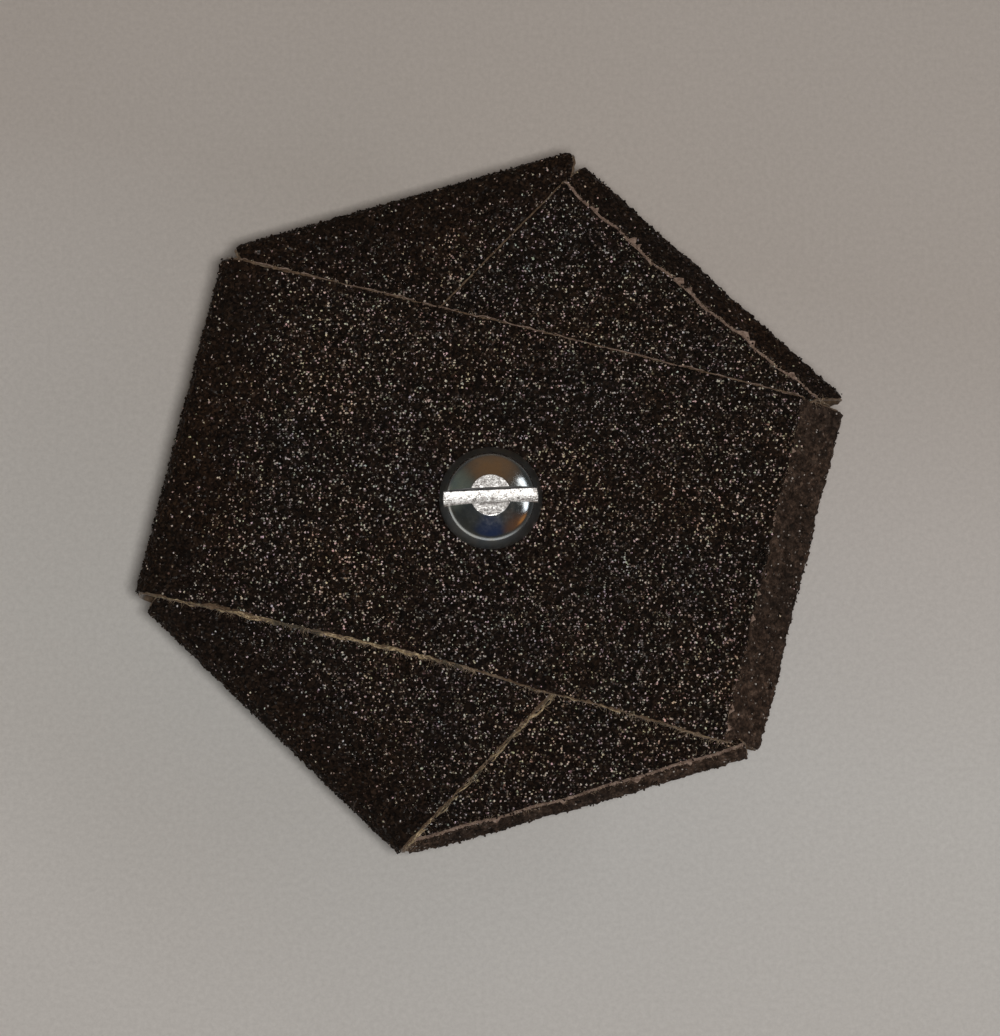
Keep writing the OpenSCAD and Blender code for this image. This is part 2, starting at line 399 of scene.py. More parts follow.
def zinc_material(name, rough=(0.16, 0.30), tint=0.5, dark=1.0, bumpy=0.10, scale=1.0):
    """Bright zinc plate: cool grey with faint straw and blue passivation, fine pitting."""
    m, nt, p = material(name)
    v = coords(nt)
    cloud = noise(nt, v, 260.0 * scale, 4.0, 0.6, 0.6)
    base = ramp(nt, cloud.outputs["Fac"], [(0.30, (0.50 * dark, 0.56 * dark, 0.62 * dark)),
                                           (0.50, (0.64 * dark, 0.66 * dark, 0.66 * dark)),
                                           (0.72, (0.70 * dark, 0.66 * dark, 0.56 * dark))])
    pits = noise(nt, v, 3800.0 * scale, 3.0, 0.7)
    shade = ramp(nt, pits.outputs["Fac"], [(0.28, grey(0.62)), (0.5, grey(1.0))])
    col = mix(nt, tint, base.outputs["Color"], mix(nt, 1.0, base.outputs["Color"], shade.outputs["Color"], "MULTIPLY"))
    nt.links.new(col, p.inputs["Base Color"])
    p.inputs["Metallic"].default_value = 1.0
    wear = noise(nt, v, 1500.0 * scale, 4.0, 0.65)
    r = ramp(nt, wear.outputs["Fac"], [(0.3, grey(rough[0])), (0.7, grey(rough[1]))])
    nt.links.new(r.outputs["Color"], p.inputs["Roughness"])
    nt.links.new(bump(nt, pits.outputs["Fac"], bumpy, 0.00005), p.inputs["Normal"])
    return m


def crinkle_material(name, light, rough):
    """Plate left rough by the punch: fine crystalline speckle, bright and dark, neither smooth nor mirror-like."""
    m, nt, p = material(name)
    v = coords(nt)
    cells = voronoi(nt, v, 6200.0)
    sep = nt.nodes.new("ShaderNodeSeparateColor")
    nt.links.new(cells.outputs["Color"], sep.inputs["Color"])
    patch = noise(nt, v, 1300.0, 4.0, 0.65)
    base = ramp(nt, sep.outputs[0], [(0.0, (0.20 * light, 0.195 * light, 0.19 * light)), (0.16, (0.60 * light, 0.59 * light, 0.58 * light)),
                                     (0.5, (0.86 * light, 0.85 * light, 0.85 * light)), (1.0, (0.97 * light, 0.97 * light, 0.98 * light))])
    shade = ramp(nt, patch.outputs["Fac"], [(0.36, (0.36, 0.34, 0.335)), (0.54, grey(1.0))])
    nt.links.new(mix(nt, 1.0, base.outputs["Color"], shade.outputs["Color"], "MULTIPLY"), p.inputs["Base Color"])
    p.inputs["Metallic"].default_value = 0.85
    r = ramp(nt, sep.outputs[1], [(0.0, grey(rough[0])), (1.0, grey(rough[1]))])
    nt.links.new(r.outputs["Color"], p.inputs["Roughness"])
    nt.links.new(bump(nt, cells.outputs["Distance"], 0.40, 0.00006), p.inputs["Normal"])
    return m


def wood_material():
    """Birch ply: long grain on the faces, dark and light plies at the edge."""
    m, nt, p = material("birch_ply")
    v = coords(nt)
    mp = nt.nodes.new("ShaderNodeMapping")
    mp.inputs["Scale"].default_value = (0.12, 1.0, 1.0)
    nt.links.new(v, mp.inputs["Vector"])
    grain = noise(nt, mp.outputs["Vector"], 900.0, 6.0, 0.65, 0.8)
    base = ramp(nt, grain.outputs["Fac"], [(0.3, (0.30, 0.18, 0.085)), (0.5, (0.50, 0.34, 0.18)), (0.7, (0.64, 0.47, 0.28))])
    ply = nt.nodes.new("ShaderNodeTexWave")
    ply.wave_type, ply.bands_direction = "BANDS", "Z"
    ply.inputs["Scale"].default_value = 200.0
    nt.links.new(v, ply.inputs["Vector"])
    plies = ramp(nt, ply.outputs["Fac"], [(0.45, grey(0.72)), (0.55, grey(1.0))])
    col = mix(nt, 1.0, base.outputs["Color"], plies.outputs["Color"], "MULTIPLY")
    nt.links.new(col, p.inputs["Base Color"])
    p.inputs["Roughness"].default_value = 0.68
    nt.links.new(bump(nt, grain.outputs["Fac"], 0.3, 0.0001), p.inputs["Normal"])
    return m


def paper_material():
    m, nt, p = material("pale_paper")
    v = coords(nt)
    fibre = noise(nt, v, 1400.0, 5.0, 0.7)
    cloud = noise(nt, v, 14.0, 3.0, 0.5)
    a = ramp(nt, fibre.outputs["Fac"], [(0.3, (0.70, 0.655, 0.605)), (0.7, (0.80, 0.75, 0.695))])
    b = ramp(nt, cloud.outputs["Fac"], [(0.3, grey(0.965)), (0.7, grey(1.0))])
    # the paper a little greyer and darker towards the far left, lighter and bluer towards the near side
    lay = nt.nodes.new("ShaderNodeVectorMath")
    lay.operation = "DOT_PRODUCT"
    lay.inputs[1].default_value = (1.5, 7.0, 0.0)
    nt.links.new(v, lay.inputs[0])
    far = ramp(nt, math_node(nt, "ADD", lay.outputs["Value"], 0.5), [(0.0, (1.10, 1.14, 1.20)), (0.31, (1.11, 1.165, 1.23)), (0.59, (1.025, 1.04, 1.083)), (0.83, (0.893, 0.877, 0.890))])
    tone = mix(nt, 1.0, b.outputs["Color"], far.outputs["Color"], "MULTIPLY")
    nt.links.new(mix(nt, 1.0, a.outputs["Color"], tone, "MULTIPLY"), p.inputs["Base Color"])
    p.inputs["Roughness"].default_value = 0.9
    p.inputs["Specular IOR Level"].default_value = 0.2
    nt.links.new(bump(nt, fibre.outputs["Fac"], 0.12, 0.00012), p.inputs["Normal"])
    return m


GRIT = grit_material()
WORN = worn_material()
# the same grain with fewer painted glints: rubbed grain, and painted shade where the folds turn from the light
DULL = grit_material("abrasive_rubbed_glint_fade", base=1.0, sparkle=0.93, rough=0.84)
CREASE = crease_material("cracked_cloth", 1.0)
PALE = crease_material("torn_coat", 1.12)
YARN = yarn_material()
CLOTH = cloth_material(light=0.62)
FIBRE = fibre_material()
ZINC_DOME = zinc_material("zinc_polished", rough=(0.10, 0.20), tint=0.35, bumpy=0.05)
# painted dark reflection: the rim's zinc is drawn dark, for the dark pad that the steep rim reflects
ZINC_RIM_PAINTED_DARK = zinc_material("zinc_rim_painted_dark", rough=(0.36, 0.50), tint=0.4, bumpy=0.08, dark=0.44)
# painted shade: the slot walls' zinc is drawn very dark, for the shade inside the slot
ZINC_SLOT_WALL_PAINTED_SHADE = zinc_material("zinc_slot_wall_painted_shade", rough=(0.30, 0.46), tint=0.5, bumpy=0.2, dark=0.22)
ZINC_MATTE = crinkle_material("zinc_slot", 1.0, (0.30, 0.46))
ZINC_FLAT = crinkle_material("zinc_flat", 0.80, (0.34, 0.56))
ZINC_THREAD = zinc_material("zinc_thread", rough=(0.22, 0.40), tint=0.6, bumpy=0.12, dark=0.9)
ZINC_WASHER = zinc_material("zinc_washer", rough=(0.24, 0.42), tint=0.6, bumpy=0.16, dark=0.95)
SPRING = zinc_material("spring_zinc", rough=(0.26, 0.44), tint=0.7, bumpy=0.2, dark=0.72)
ZINC_NUT = zinc_material("zinc_forged", rough=(0.26, 0.46), tint=0.7, bumpy=0.3, dark=0.92)
WOOD = wood_material()


# ------------------------------------------------------------------- straps
def unit(v):
    return v / np.linalg.norm(v)


def corner(a, b, c, r, n):
    d1, d2 = unit(a - b), unit(c - b)
    half = math.acos(max(-1.0, min(1.0, float(d1 @ d2)))) / 2
    mid = b + unit(d1 + d2) * (r / math.sin(half))
    p1, p2 = b + d1 * (r / math.tan(half)), b + d2 * (r / math.tan(half))
    a1 = math.atan2(p1[1] - mid[1], p1[0] - mid[0])
    a2 = math.atan2(p2[1] - mid[1], p2[0] - mid[0])
    sweep = (a2 - a1 + math.pi) % (2 * math.pi) - math.pi
    return [mid + r * np.array([math.cos(a1 + sweep * i / n), math.sin(a1 + sweep * i / n)]) for i in range(n + 1)]


def rounded(pts, rs, n=24):
    pts = [np.array(p, float) for p in pts]
    out = [pts[0]]
    for i in range(1, len(pts) - 1):
        out += corner(pts[i - 1], pts[i], pts[i + 1], rs[i], n)
    out.append(pts[-1])
    return np.array(out)


def smooth_noise(rng, n, step, amp):
    """A smooth random line of n points, with knots every step points."""
    k = max(4, int(n / step) + 3)
    knots = rng.normal(0, 1, k)
    x = np.linspace(0, k - 1, n)
    i = np.clip(x.astype(int), 0, k - 2)
    f = x - i
    f = f * f * (3 - 2 * f)
    return amp * (knots[i] * (1 - f) + knots[i + 1] * f)


def value_noise(rng, shape, sizes):
    """Smooth 2D random field of the given shape, knots every sizes[0] by sizes[1] points."""
    ny, nx = shape
    ky, kx = int(ny / sizes[0]) + 3, int(nx / sizes[1]) + 3
    g = rng.normal(0, 1, (ky, kx))
    y, x = np.arange(ny) / sizes[0], np.arange(nx) / sizes[1]
    iy, ix = y.astype(int), x.astype(int)
    fy, fx = y - iy, x - ix
    fy, fx = (fy * fy * (3 - 2 * fy))[:, None], (fx * fx * (3 - 2 * fx))[None, :]
    a, b = g[np.ix_(iy, ix)], g[np.ix_(iy, ix + 1)]
    c, d = g[np.ix_(iy + 1, ix)], g[np.ix_(iy + 1, ix + 1)]
    return (a * (1 - fx) + b * fx) * (1 - fy) + (c * (1 - fx) + d * fx) * fy


class Strap:
    """One abrasive strip: its path in the (u, z) plane, its direction, and its two long edges."""

    def __init__(self, name, direction, layer_node, round_u, round_r, crease, nose, drop, back_crease, shift=0.0, seed=1):
        lo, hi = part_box(layer_node)
        self.name, self.seed, self.shift = name, seed, shift
        a = math.radians(direction)
        self.ax, self.ay = np.array([math.cos(a), math.sin(a)]), np.array([-math.sin(a), math.cos(a)])
        self.front = hi.z / MM - STRAP_T / 2
        rear1 = lo.z / MM + STRAP_T / 2
        rear0 = rear1 + PITCH
        self.rear0, self.rear1 = rear0, rear1
        line = rounded([(OVERLAP, rear0), (-round_u, rear0), (-round_u, self.front), (crease, self.front),
                        (nose, self.front - drop), (back_crease, rear1), (-OVERLAP, rear1)],
                       [0, round_r, round_r, 0.8, 1.2, 0.8, 0])
        d = np.r_[0, np.cumsum(np.linalg.norm(np.diff(line, axis=0), axis=1))]
        keep = np.r_[True, np.diff(d) > 1e-6]
        self.line, self.d = line[keep], d[keep]
        self.length = self.d[-1]
        # arc length where the front crease lies, and where the front flat starts
        i = np.argmin(np.hypot(self.line[:, 0] - crease, self.line[:, 1] - self.front))
        self.s_crease = self.d[i]
        i = np.argmin(np.hypot(self.line[:, 0] - back_crease, self.line[:, 1] - rear1))
        self.s_back = self.d[i]
        i = np.argmin(np.hypot(self.line[:, 0] + round_u - round_r, self.line[:, 1] - self.front))
        self.s_flat = self.d[i]

    def at(self, s):
        """(u, z), outward normal (nu, nz) at arc lengths s."""
        s = np.clip(s, 0, self.length)
        u, z = np.interp(s, self.d, self.line[:, 0]), np.interp(s, self.d, self.line[:, 1])
        e = 0.12
        u2, z2 = np.interp(np.clip(s + e, 0, self.length), self.d, self.line[:, 0]), np.interp(np.clip(s + e, 0, self.length), self.d, self.line[:, 1])
        u1, z1 = np.interp(np.clip(s - e, 0, self.length), self.d, self.line[:, 0]), np.interp(np.clip(s - e, 0, self.length), self.d, self.line[:, 1])
        tu, tz = u2 - u1, z2 - z1
        n = np.hypot(tu, tz)
        return u, z, -tz / n, tu / n

    def warp(self, s, v):
        """Shift of the creased fold along u, mm: hand-made folds are not quite straight or square."""
        q = v / 25.4
        if self.name == "middle":
            dc = 0.55 - 1.45 * q - 0.55 * (1 - q * q) + 0.16 * np.sin(v * 0.55) + 0.10 * np.sin(v * 1.3 + 1)
            dn = -0.75 * q + 0.08 * np.sin(v * 0.4)
        elif self.name == "inner":
            dc = 0.25 - 0.35 * np.abs(q + 0.1) + 0.09 * np.sin(v * 0.6 + 2)
            dn = 0.10 * np.sin(v * 0.3) - 0.25 * q * q
        else:
            dc = -0.25 - 0.28 * q + 0.12 * np.sin(v * 0.45 + 1) + 0.06 * np.sin(v * 1.5)
            dn = 0.10 * np.sin(v * 0.35 + 0.5)
        nose = 0.5 * (self.s_crease + self.s_back)
        near = np.clip((s - self.s_crease + 5) / 5, 0, 1)
        past = np.clip((s - self.s_crease) / max(0.1, nose - self.s_crease), 0, 1)
        out = np.clip((self.s_back + 1 - s) / 4, 0, 1)
        return near * out * (dc * (1 - past) + dn * past)

    def rows(self, fine, coarse):
        """Arc lengths of the rows: fine over the front and the folds, coarser along the back."""
        s, out = 0.0, [0.0]
        lo, hi = self.s_flat - 16, self.s_back + 2
        while s < self.length:
            s += fine if lo < s < hi else coarse
            out.append(min(s, self.length))
        if out[-1] - out[-2] < 0.4 * coarse:
            out[-2] = out[-1]
            out.pop()
        out = np.array(out)
        k = self.s_crease
        if fine < 0.6:
            out = np.r_[out[(out < k - 0.62) | (out > k + 1.30)], np.arange(k - 0.60, k + 1.29, 0.135)]
        return np.sort(out)

    def world(self, u, v, z):
        v = v + self.shift
        return np.stack([u * self.ax[0] + v * self.ay[0], u * self.ax[1] + v * self.ay[1], z], axis=-1)

    # long edges, as v at arc lengths s: the straight cut edge, and the hand-cut one
    def edges(self, s, u):
        rng = np.random.default_rng(self.seed + 50)
        n = len(s)
        hi = STRAP_W / 2 + smooth_noise(rng, n, 60, 0.05)
        lo = -STRAP_W / 2 + smooth_noise(rng, n, 45, 0.10)
        if self.name == "outer":
            front = (s > self.s_flat - 4) & (s < self.s_crease + 6)
            wave = -np.interp(u, [-44, -33, -22, -10.7, 0, 5, 13.7, 22, 32.5, 40.4, 44],
                              [25.4, 24.85, 24.7, 24.5, 24.55, 24.75, 25.3, 25.25, 25.7, 26.1, 25.8])
            soft = np.clip(np.minimum((s - self.s_flat + 4) / 6, (self.s_crease + 6 - s) / 6), 0, 1)
            lo = np.where(front, lo * (1 - soft) + (wave + smooth_noise(rng, n, 9, 0.05)) * soft, lo)
        # the covered corners are snipped off, so that they don't show past the strap above
        lim = np.interp(np.abs(u), [33.0, 37.0, 46.5], [26.6, 21.2, 26.7])
        if self.name != "outer":
            both = self.name == "inner"
            lo = np.where((u > 0) | both, np.maximum(lo, -lim - self.shift), lo)
            hi = np.where((u < 0) | both, np.minimum(hi, lim - self.shift), hi)
        return lo, hi

    def lift(self, s, u, v):
        """How far the cloth stands off its ruled path, mm: slack, curled edges, and a sag where nothing lies under it."""
        on_front = np.clip(np.minimum((s - self.s_flat) / 5, (self.s_crease - s) / 5), 0, 1)
        on_front = on_front * on_front * (3 - 2 * on_front)
        # past the cut edges of the straps below, the cloth dips towards the core's edge
        free = np.clip((1.732 * np.abs(u) - 50.8 - np.abs(v)) / 11, 0, 1)
        free = free * free * (3 - 2 * free)
        side = np.where(u < 0, 1.0, 0.0)
        reach = np.clip(np.minimum((s - self.s_flat + 9) / 7, (self.s_crease + 1.5 - s) / 4), 0, 1)
        dip = {"outer": 0.80, "middle": 0.40, "inner": 0.10}[self.name] * free * side * reach
        if self.name == "outer":
            far = np.hypot(u, v)
            clamp = np.clip((far - 7.5) / 12, 0, 1)
            clamp = clamp * clamp * (3 - 2 * clamp)
            curl = 0.42 * np.exp(-((v + 25.0) / 3.2) ** 2) * np.exp(-((u - 2.0) / 13) ** 2)
            curl += 0.18 * np.exp(-((v - 25.0) / 3.0) ** 2) * np.exp(-((u + 8.0) / 22) ** 2)
            slack = 0.12 * np.sin(u * 0.085 + 0.6) * np.cos(v * 0.07) + 0.10
            return on_front * (curl + slack * clamp) - dip
        curl = 0.16 * np.exp(-((v + 25.0) / 3.0) ** 2) * np.exp(-((u + 30.0) / 12) ** 2)
        return on_front * (curl + 0.02 * np.sin(u * 0.1 + v * 0.08)) - dip


def crease_cover(strap, s):
    """How much bare cloth shows along the front crease, 0 to 1, for arc lengths s."""
    return np.exp(-((s - strap.s_crease - 0.12) / {"outer": 0.20, "middle": 0.165, "inner": 0.175}[strap.name]) ** 2)


def rubbed_and_glint_fade(strap, s, u):
    """Share of grain rubbed dull and drawn with fewer painted glints, rising towards the rounded fold and round it, 0
    to 1: partly rubbed grain, partly painted shade where the fold turns from the light.
    """
    u0 = np.interp(strap.s_flat, strap.d, strap.line[:, 0])
    reach = {"outer": 10.5, "middle": 10.0, "inner": 13.0}[strap.name]
    edge = np.clip((u0 + reach - u) / reach, 0, 1) ** 1.15
    return np.where((s > strap.s_flat - 14) & (s < strap.s_crease) & (u < 0), edge, 0)


def build_grit(strap, fine, coarse, cross):
    """The coat of grain, a closed layer with a facet for each crystal face."""
    rng = np.random.default_rng(strap.seed)
    s = strap.rows(fine, coarse)
    u, z, nu, nz = strap.at(s)
    lo, hi = strap.edges(s, u)
    ns, nc = len(s), int(STRAP_W / cross)
    # the coat stops short of the cloth's cut edge, and crumbles there
    lo_g = lo + 0.08 + np.abs(rng.normal(0, 0.12, ns))
    hi_g = hi - 0.09 - np.abs(rng.normal(0, 0.07, ns)) - np.where(u < -30, np.clip((-30 - u) / 30, 0, 0.22) * (strap.name == "outer"), 0)
    if strap.name == "outer":
        lo_g += np.clip(smooth_noise(rng, ns, 7, 0.14), -0.05, 0.4) * (u < 2)
    t = np.linspace(0, 1, nc)
    V = lo_g[:, None] * (1 - t) + hi_g[:, None] * t
    S = np.repeat(s[:, None], nc, 1)
    inner = np.ones((ns, nc))
    inner[:, 0] = inner[:, -1] = 0
    inner[0] = inner[-1] = 0
    step = np.gradient(s)[:, None]
    S = S + inner * rng.uniform(-0.36, 0.36, (ns, nc)) * step
    V = V + inner * rng.uniform(-0.36, 0.36, (ns, nc)) * cross
    U, Z, NU, NZ = strap.at(S)
    grain = rng.normal(0, 0.098, (ns, nc)) + 0.055 * value_noise(rng, (ns, nc), (2.6, 2.6))
    proud = rng.random((ns, nc)) < 0.035
    grain = np.where(proud, grain + rng.uniform(0.08, 0.22, (ns, nc)), grain)
    grain = np.clip(grain, -0.20, 0.34)
    # grain broken out of the crease, in flakes along it
    cover = crease_cover(strap, S)
    share = {"outer": 0.38, "middle": 0.90, "inner": 0.95}[strap.name]
    flakes = value_noise(rng, (ns, nc), (4.0, 7.0)) * 0.42 + rng.normal(0, 0.14, (ns, nc))
    open_ = cover * np.clip((flakes + (share - 0.5) * 3.2) * 1.4, 0, 1)
    edge = np.minimum(np.arange(nc), np.arange(nc)[::-1])[None, :]
    thin = np.where(edge == 0, 0.17, np.where(edge == 1, 0.06, 0.0))
    # the torn coat stands off the nose a little, and leaves a groove under its lip
    groove = {"outer": 0.0, "middle": 0.30, "inner": 0.24}[strap.name] * np.exp(-((S - strap.s_crease - 0.72) / 0.30) ** 2) \
        * np.clip(1.15 - np.abs(V + 2) / 20, 0, 1)
    calm = np.clip(np.abs(S - strap.s_crease - 0.1) / 0.5, 0.35, 1)
    top = STRAP_T / 2 + grain * calm - 0.16 * open_ - thin - groove
    lift = strap.lift(S, U, V)
    P = strap.world(U + NU * top + strap.warp(S, V), V, Z + NZ * top + lift)
    # underside of the coat, just inside the cloth
    under = 18
    tt = np.linspace(0, 1, under)[None, :]
    low_v = hi_g[:, None] * (1 - tt) + lo_g[:, None] * tt
    low_s = np.repeat(s[:, None], under, 1)
    low_u = np.repeat(u[:, None] + nu[:, None] * 0.02, under, 1)
    low_z = z[:, None] + nz[:, None] * 0.02 + strap.lift(low_s, u[:, None], low_v)
    L = strap.world(low_u + strap.warp(low_s, low_v), low_v, low_z)
    ring = np.concatenate([P, L], axis=1)
    k = nc + under
    idx = np.arange(ns * k).reshape(ns, k)
    a, b = idx[:-1], idx[1:]
    a2, b2 = np.roll(a, -1, 1), np.roll(b, -1, 1)
    flip = rng.random(a.shape) < 0.5
    t1 = np.where(flip[..., None], np.stack([a, a2, b2], -1), np.stack([a, a2, b], -1))
    t2 = np.where(flip[..., None], np.stack([a, b2, b], -1), np.stack([a2, b2, b], -1))
    tri = np.concatenate([t1.reshape(-1, 3), t2.reshape(-1, 3)])
    # material: bare cloth where the coat has opened at the crease
    full = np.zeros((ns, k))
    full[:, :nc] = open_
    f = full.ravel()
    bare = (f[tri].mean(1) > 0.42).astype(np.int32)
    # past the crease the grain is cracked and dull
    past = np.zeros((ns, k))
    past[:, :nc] = ((S > strap.s_crease + 0.1) & (S < strap.s_back)) + 0.25 * value_noise(rng, (ns, nc), (3, 3))
    bare = np.where((bare == 0) & (past.ravel()[tri].mean(1) > 0.6), 3 if strap.name == "middle" else 2, bare)
    # fewer painted glints towards the rounded fold: rubbed grain, and painted shade where the fold turns from the
    # light
    rub_and_fade = np.zeros((ns, k))
    rub_and_fade[:, :nc] = rubbed_and_glint_fade(strap, S, U) + 0.10 * value_noise(rng, (ns, nc), (5, 5))
    bare = np.where((bare == 0) & (rub_and_fade.ravel()[tri].mean(1) > rng.random(len(tri))), 3, bare)
    caps = []
    for row, sign in ((idx[0], 1), (idx[-1], -1)):
        bot = row[nc:][::-1]
        i = j = 0
        while i < nc - 1 or j < under - 1:
            if j == under - 1 or (i < nc - 1 and (i + 1) / (nc - 1) <= (j + 1) / (under - 1)):
                t3 = (row[i], bot[j], row[i + 1])
                i += 1
            else:
                t3 = (row[i], bot[j], bot[j + 1])
                j += 1
            caps.append(t3 if sign > 0 else t3[::-1])
    caps = np.array(caps)
    tri = np.concatenate([tri, caps])
    bare = np.concatenate([bare, np.zeros(len(caps), np.int32)])
    tri = tri[:, ::-1]
    ob = new_object("strap_" + strap.name + "_grain", ring.reshape(-1, 3), tri, [GRIT, CREASE, WORN, DULL], bare, smooth=False)
    return ob


def build_cloth(strap, along=0.42):
    """The cloth backing, a closed band whose two long edges fray past the coat."""
    rng = np.random.default_rng(strap.seed + 7)
    n = int(strap.length / along)
    s = np.linspace(0, strap.length, n)
    u, z, nu, nz = strap.at(s)
    lo, hi = strap.edges(s, u)
    heavy = np.zeros(n)
    if strap.name == "outer":
        front = (s > self_front(strap)[0]) & (s < self_front(strap)[1])
        heavy = np.where(front, np.interp(u, [-44, -40, -33, -20, -8, 1, 3, 6, 9, 12, 15, 20, 40, 44],
                                          [0.1, 0.4, 0.75, 0.9, 0.8, 1.0, 0.4, 0.0, 0.0, 0.5, 0.35, 0.25, 0.35, 0.3]), 0.2)
    elif strap.name == "middle":
        front = (s > self_front(strap)[0]) & (s < self_front(strap)[1])
        heavy = np.where(front, np.interp(u, [-45, -40, -20, 0, 45], [0.9, 0.8, 0.6, 0.5, 0.3]), 0.2)
    else:
        heavy[:] = 0.3
    jag = np.abs(rng.normal(0, 1, n)) * 0.10 + np.abs(smooth_noise(rng, n, 5, 0.12))
    out_lo = lo - 0.01 - jag * (0.25 + 1.0 * heavy)
    jag2 = np.abs(rng.normal(0, 1, n)) * 0.06 + np.abs(smooth_noise(rng, n, 6, 0.06))
    out_hi = hi + 0.02 + jag2 * 0.8
    cols = [(lambda: out_hi, -0.10, -0.30), (lambda: hi - 0.25, 0.03, -0.40), (lambda: hi - 1.2, 0.03, -0.40),
            *[(lambda q=q: (hi - 1.2) * (1 - q) + (lo + 1.2) * q, 0.03, -0.40) for q in np.linspace(0, 1, 16)[1:-1]],
            (lambda: lo + 1.2, 0.03, -0.40), (lambda: lo + 0.25, 0.03, -0.40), (lambda: out_lo, -0.08, -0.30)]
    tops, bots = [], []
    for get, ht, hb in cols:
        v = get()
        rt = rng.normal(0, 0.03, n) * (ht < 0)
        lift = strap.lift(s, u, v)
        w = strap.warp(s, v)
        tops.append(strap.world(u + nu * (ht + rt) + w, v, z + nz * (ht + rt) + lift))
        bots.append(strap.world(u + nu * hb + w, v, z + nz * hb + lift))
    ring = np.stack(tops + bots[::-1], axis=1)
    k = ring.shape[1]
    idx = np.arange(n * k).reshape(n, k)
    a, b = idx[:-1], idx[1:]
    quads = np.stack([a, np.roll(a, -1, 1), np.roll(b, -1, 1), b], -1).reshape(-1, 4)
    faces = [tuple(int(x) for x in q) for q in quads]
    faces.append(tuple(int(x) for x in idx[0][::-1]))
    faces.append(tuple(int(x) for x in idx[-1]))
    ob = new_object("strap_" + strap.name + "_cloth", ring.reshape(-1, 3), faces, [CLOTH], smooth=False)
    return ob


def self_front(strap):
    return strap.s_flat - 5, strap.s_crease + 7


def fibres(name, roots, dirs, lengths, radii, rng):
    """Short bent hairs as one mesh of closed three-sided tubes."""
    verts, faces = [], []
    seg = 5
    for root, d, ln, rad in zip(roots, dirs, lengths, radii):
        d = unit(np.array(d, float))
        side = unit(np.cross(d, rng.normal(0, 1, 3)))
        up = np.cross(d, side)
        bend = rng.normal(0, 0.45, 2)
        base = len(verts)
        for i in range(seg):
            t = i / (seg - 1)
            c = root + d * ln * t + side * bend[0] * ln * t * t + up * bend[1] * ln * t * t
            r = rad * (1 - 0.75 * t)
            for j in range(3):
                q = 2 * math.pi * j / 3 + t
                verts.append(c + side * r * math.cos(q) + up * r * math.sin(q))
        for i in range(seg - 1):
            for j in range(3):
                a, b = base + 3 * i + j, base + 3 * i + (j + 1) % 3
                faces.append((a, b, b + 3, a + 3))
        faces.append((base + 2, base + 1, base))
        e = base + 3 * (seg - 1)
        faces.append((e, e + 1, e + 2))
    return new_object(name, verts, faces, [FIBRE], smooth=True)


def crystals(strap, per_mm2, seed):
    """Loose-standing crystals on the coat: irregular eight-faced grains, half sunk in the resin."""
    rng = np.random.default_rng(strap.seed + 300 + seed)
    lo_s, hi_s = 0.2, strap.length - 0.2
    n = int(STRAP_W * (hi_s - lo_s) * per_mm2)
    s = rng.uniform(lo_s, hi_s, n)
    # fewer on the hidden back leg, and few on the rubbed nose
    front = (s > strap.s_flat - 15) & (s < strap.s_back)
    nose = (s > strap.s_crease + 0.3) & (s < strap.s_back)
    keep = rng.random(n) < np.where(front, np.where(nose, 0.55, 1.0), 0.45)
    s = s[keep]
    n = len(s)
    u0 = strap.at(s)[0]
    order = np.argsort(s)
    lo, hi = np.empty(n), np.empty(n)
    lo[order], hi[order] = strap.edges(s[order], u0[order])
    v = lo + 0.30 + (hi - lo - 0.5) * rng.random(n)
    u, z, nu, nz = strap.at(s)
    hole = np.hypot(u, v + strap.shift) < AXIS_HOLE + 0.25
    s, u, z, nu, nz, v = (q[~hole] for q in (s, u, z, nu, nz, v))
    n = len(s)
    size = rng.uniform(0.13, 0.27, n)
    h = STRAP_T / 2 + rng.uniform(0.0, 0.17, n)
    cen = strap.world(u + nu * h + strap.warp(s, v), v, z + nz * h + strap.lift(s, u, v))
    # random frames
    q = rng.normal(0, 1, (n, 4))
    q /= np.linalg.norm(q, axis=1)[:, None]
    w, x, y, zq = q.T
    R = np.stack([1 - 2 * (y * y + zq * zq), 2 * (x * y - w * zq), 2 * (x * zq + w * y),
                  2 * (x * y + w * zq), 1 - 2 * (x * x + zq * zq), 2 * (y * zq - w * x),
                  2 * (x * zq - w * y), 2 * (y * zq + w * x), 1 - 2 * (x * x + y * y)], -1).reshape(n, 3, 3)
    base = np.array([[1, 0, 0], [-1, 0, 0], [0, 1, 0], [0, -1, 0], [0, 0, 1], [0, 0, -1]], float)
    scale = size[:, None] * rng.uniform(0.6, 1.25, (n, 3))
    pts = base[None] * scale[:, None, :] + rng.uniform(-0.035, 0.035, (n, 6, 3))
    pts = np.einsum("nij,nkj->nki", R, pts) + cen[:, None, :]
    f = np.array([[0, 2, 4], [2, 1, 4], [1, 3, 4], [3, 0, 4], [2, 0, 5], [1, 2, 5], [3, 1, 5], [0, 3, 5]])
    faces = (f[None] + 6 * np.arange(n)[:, None, None]).reshape(-1, 3)
    past = (s > strap.s_crease + 0.1) & (s < strap.s_back)
    # crystals near the rounded fold get fewer painted glints: rubbed grain, and painted shade where the fold turns
    # from the light
    dull = rubbed_and_glint_fade(strap, s, u) > rng.random(n)
    worn = np.where(past, 2 if strap.name == "middle" else 1, np.where(dull, 2, 0))
    return new_object("strap_" + strap.name + "_crystals", pts.reshape(-1, 3), faces, [GRIT, WORN, DULL], np.repeat(worn, 8), smooth=False)


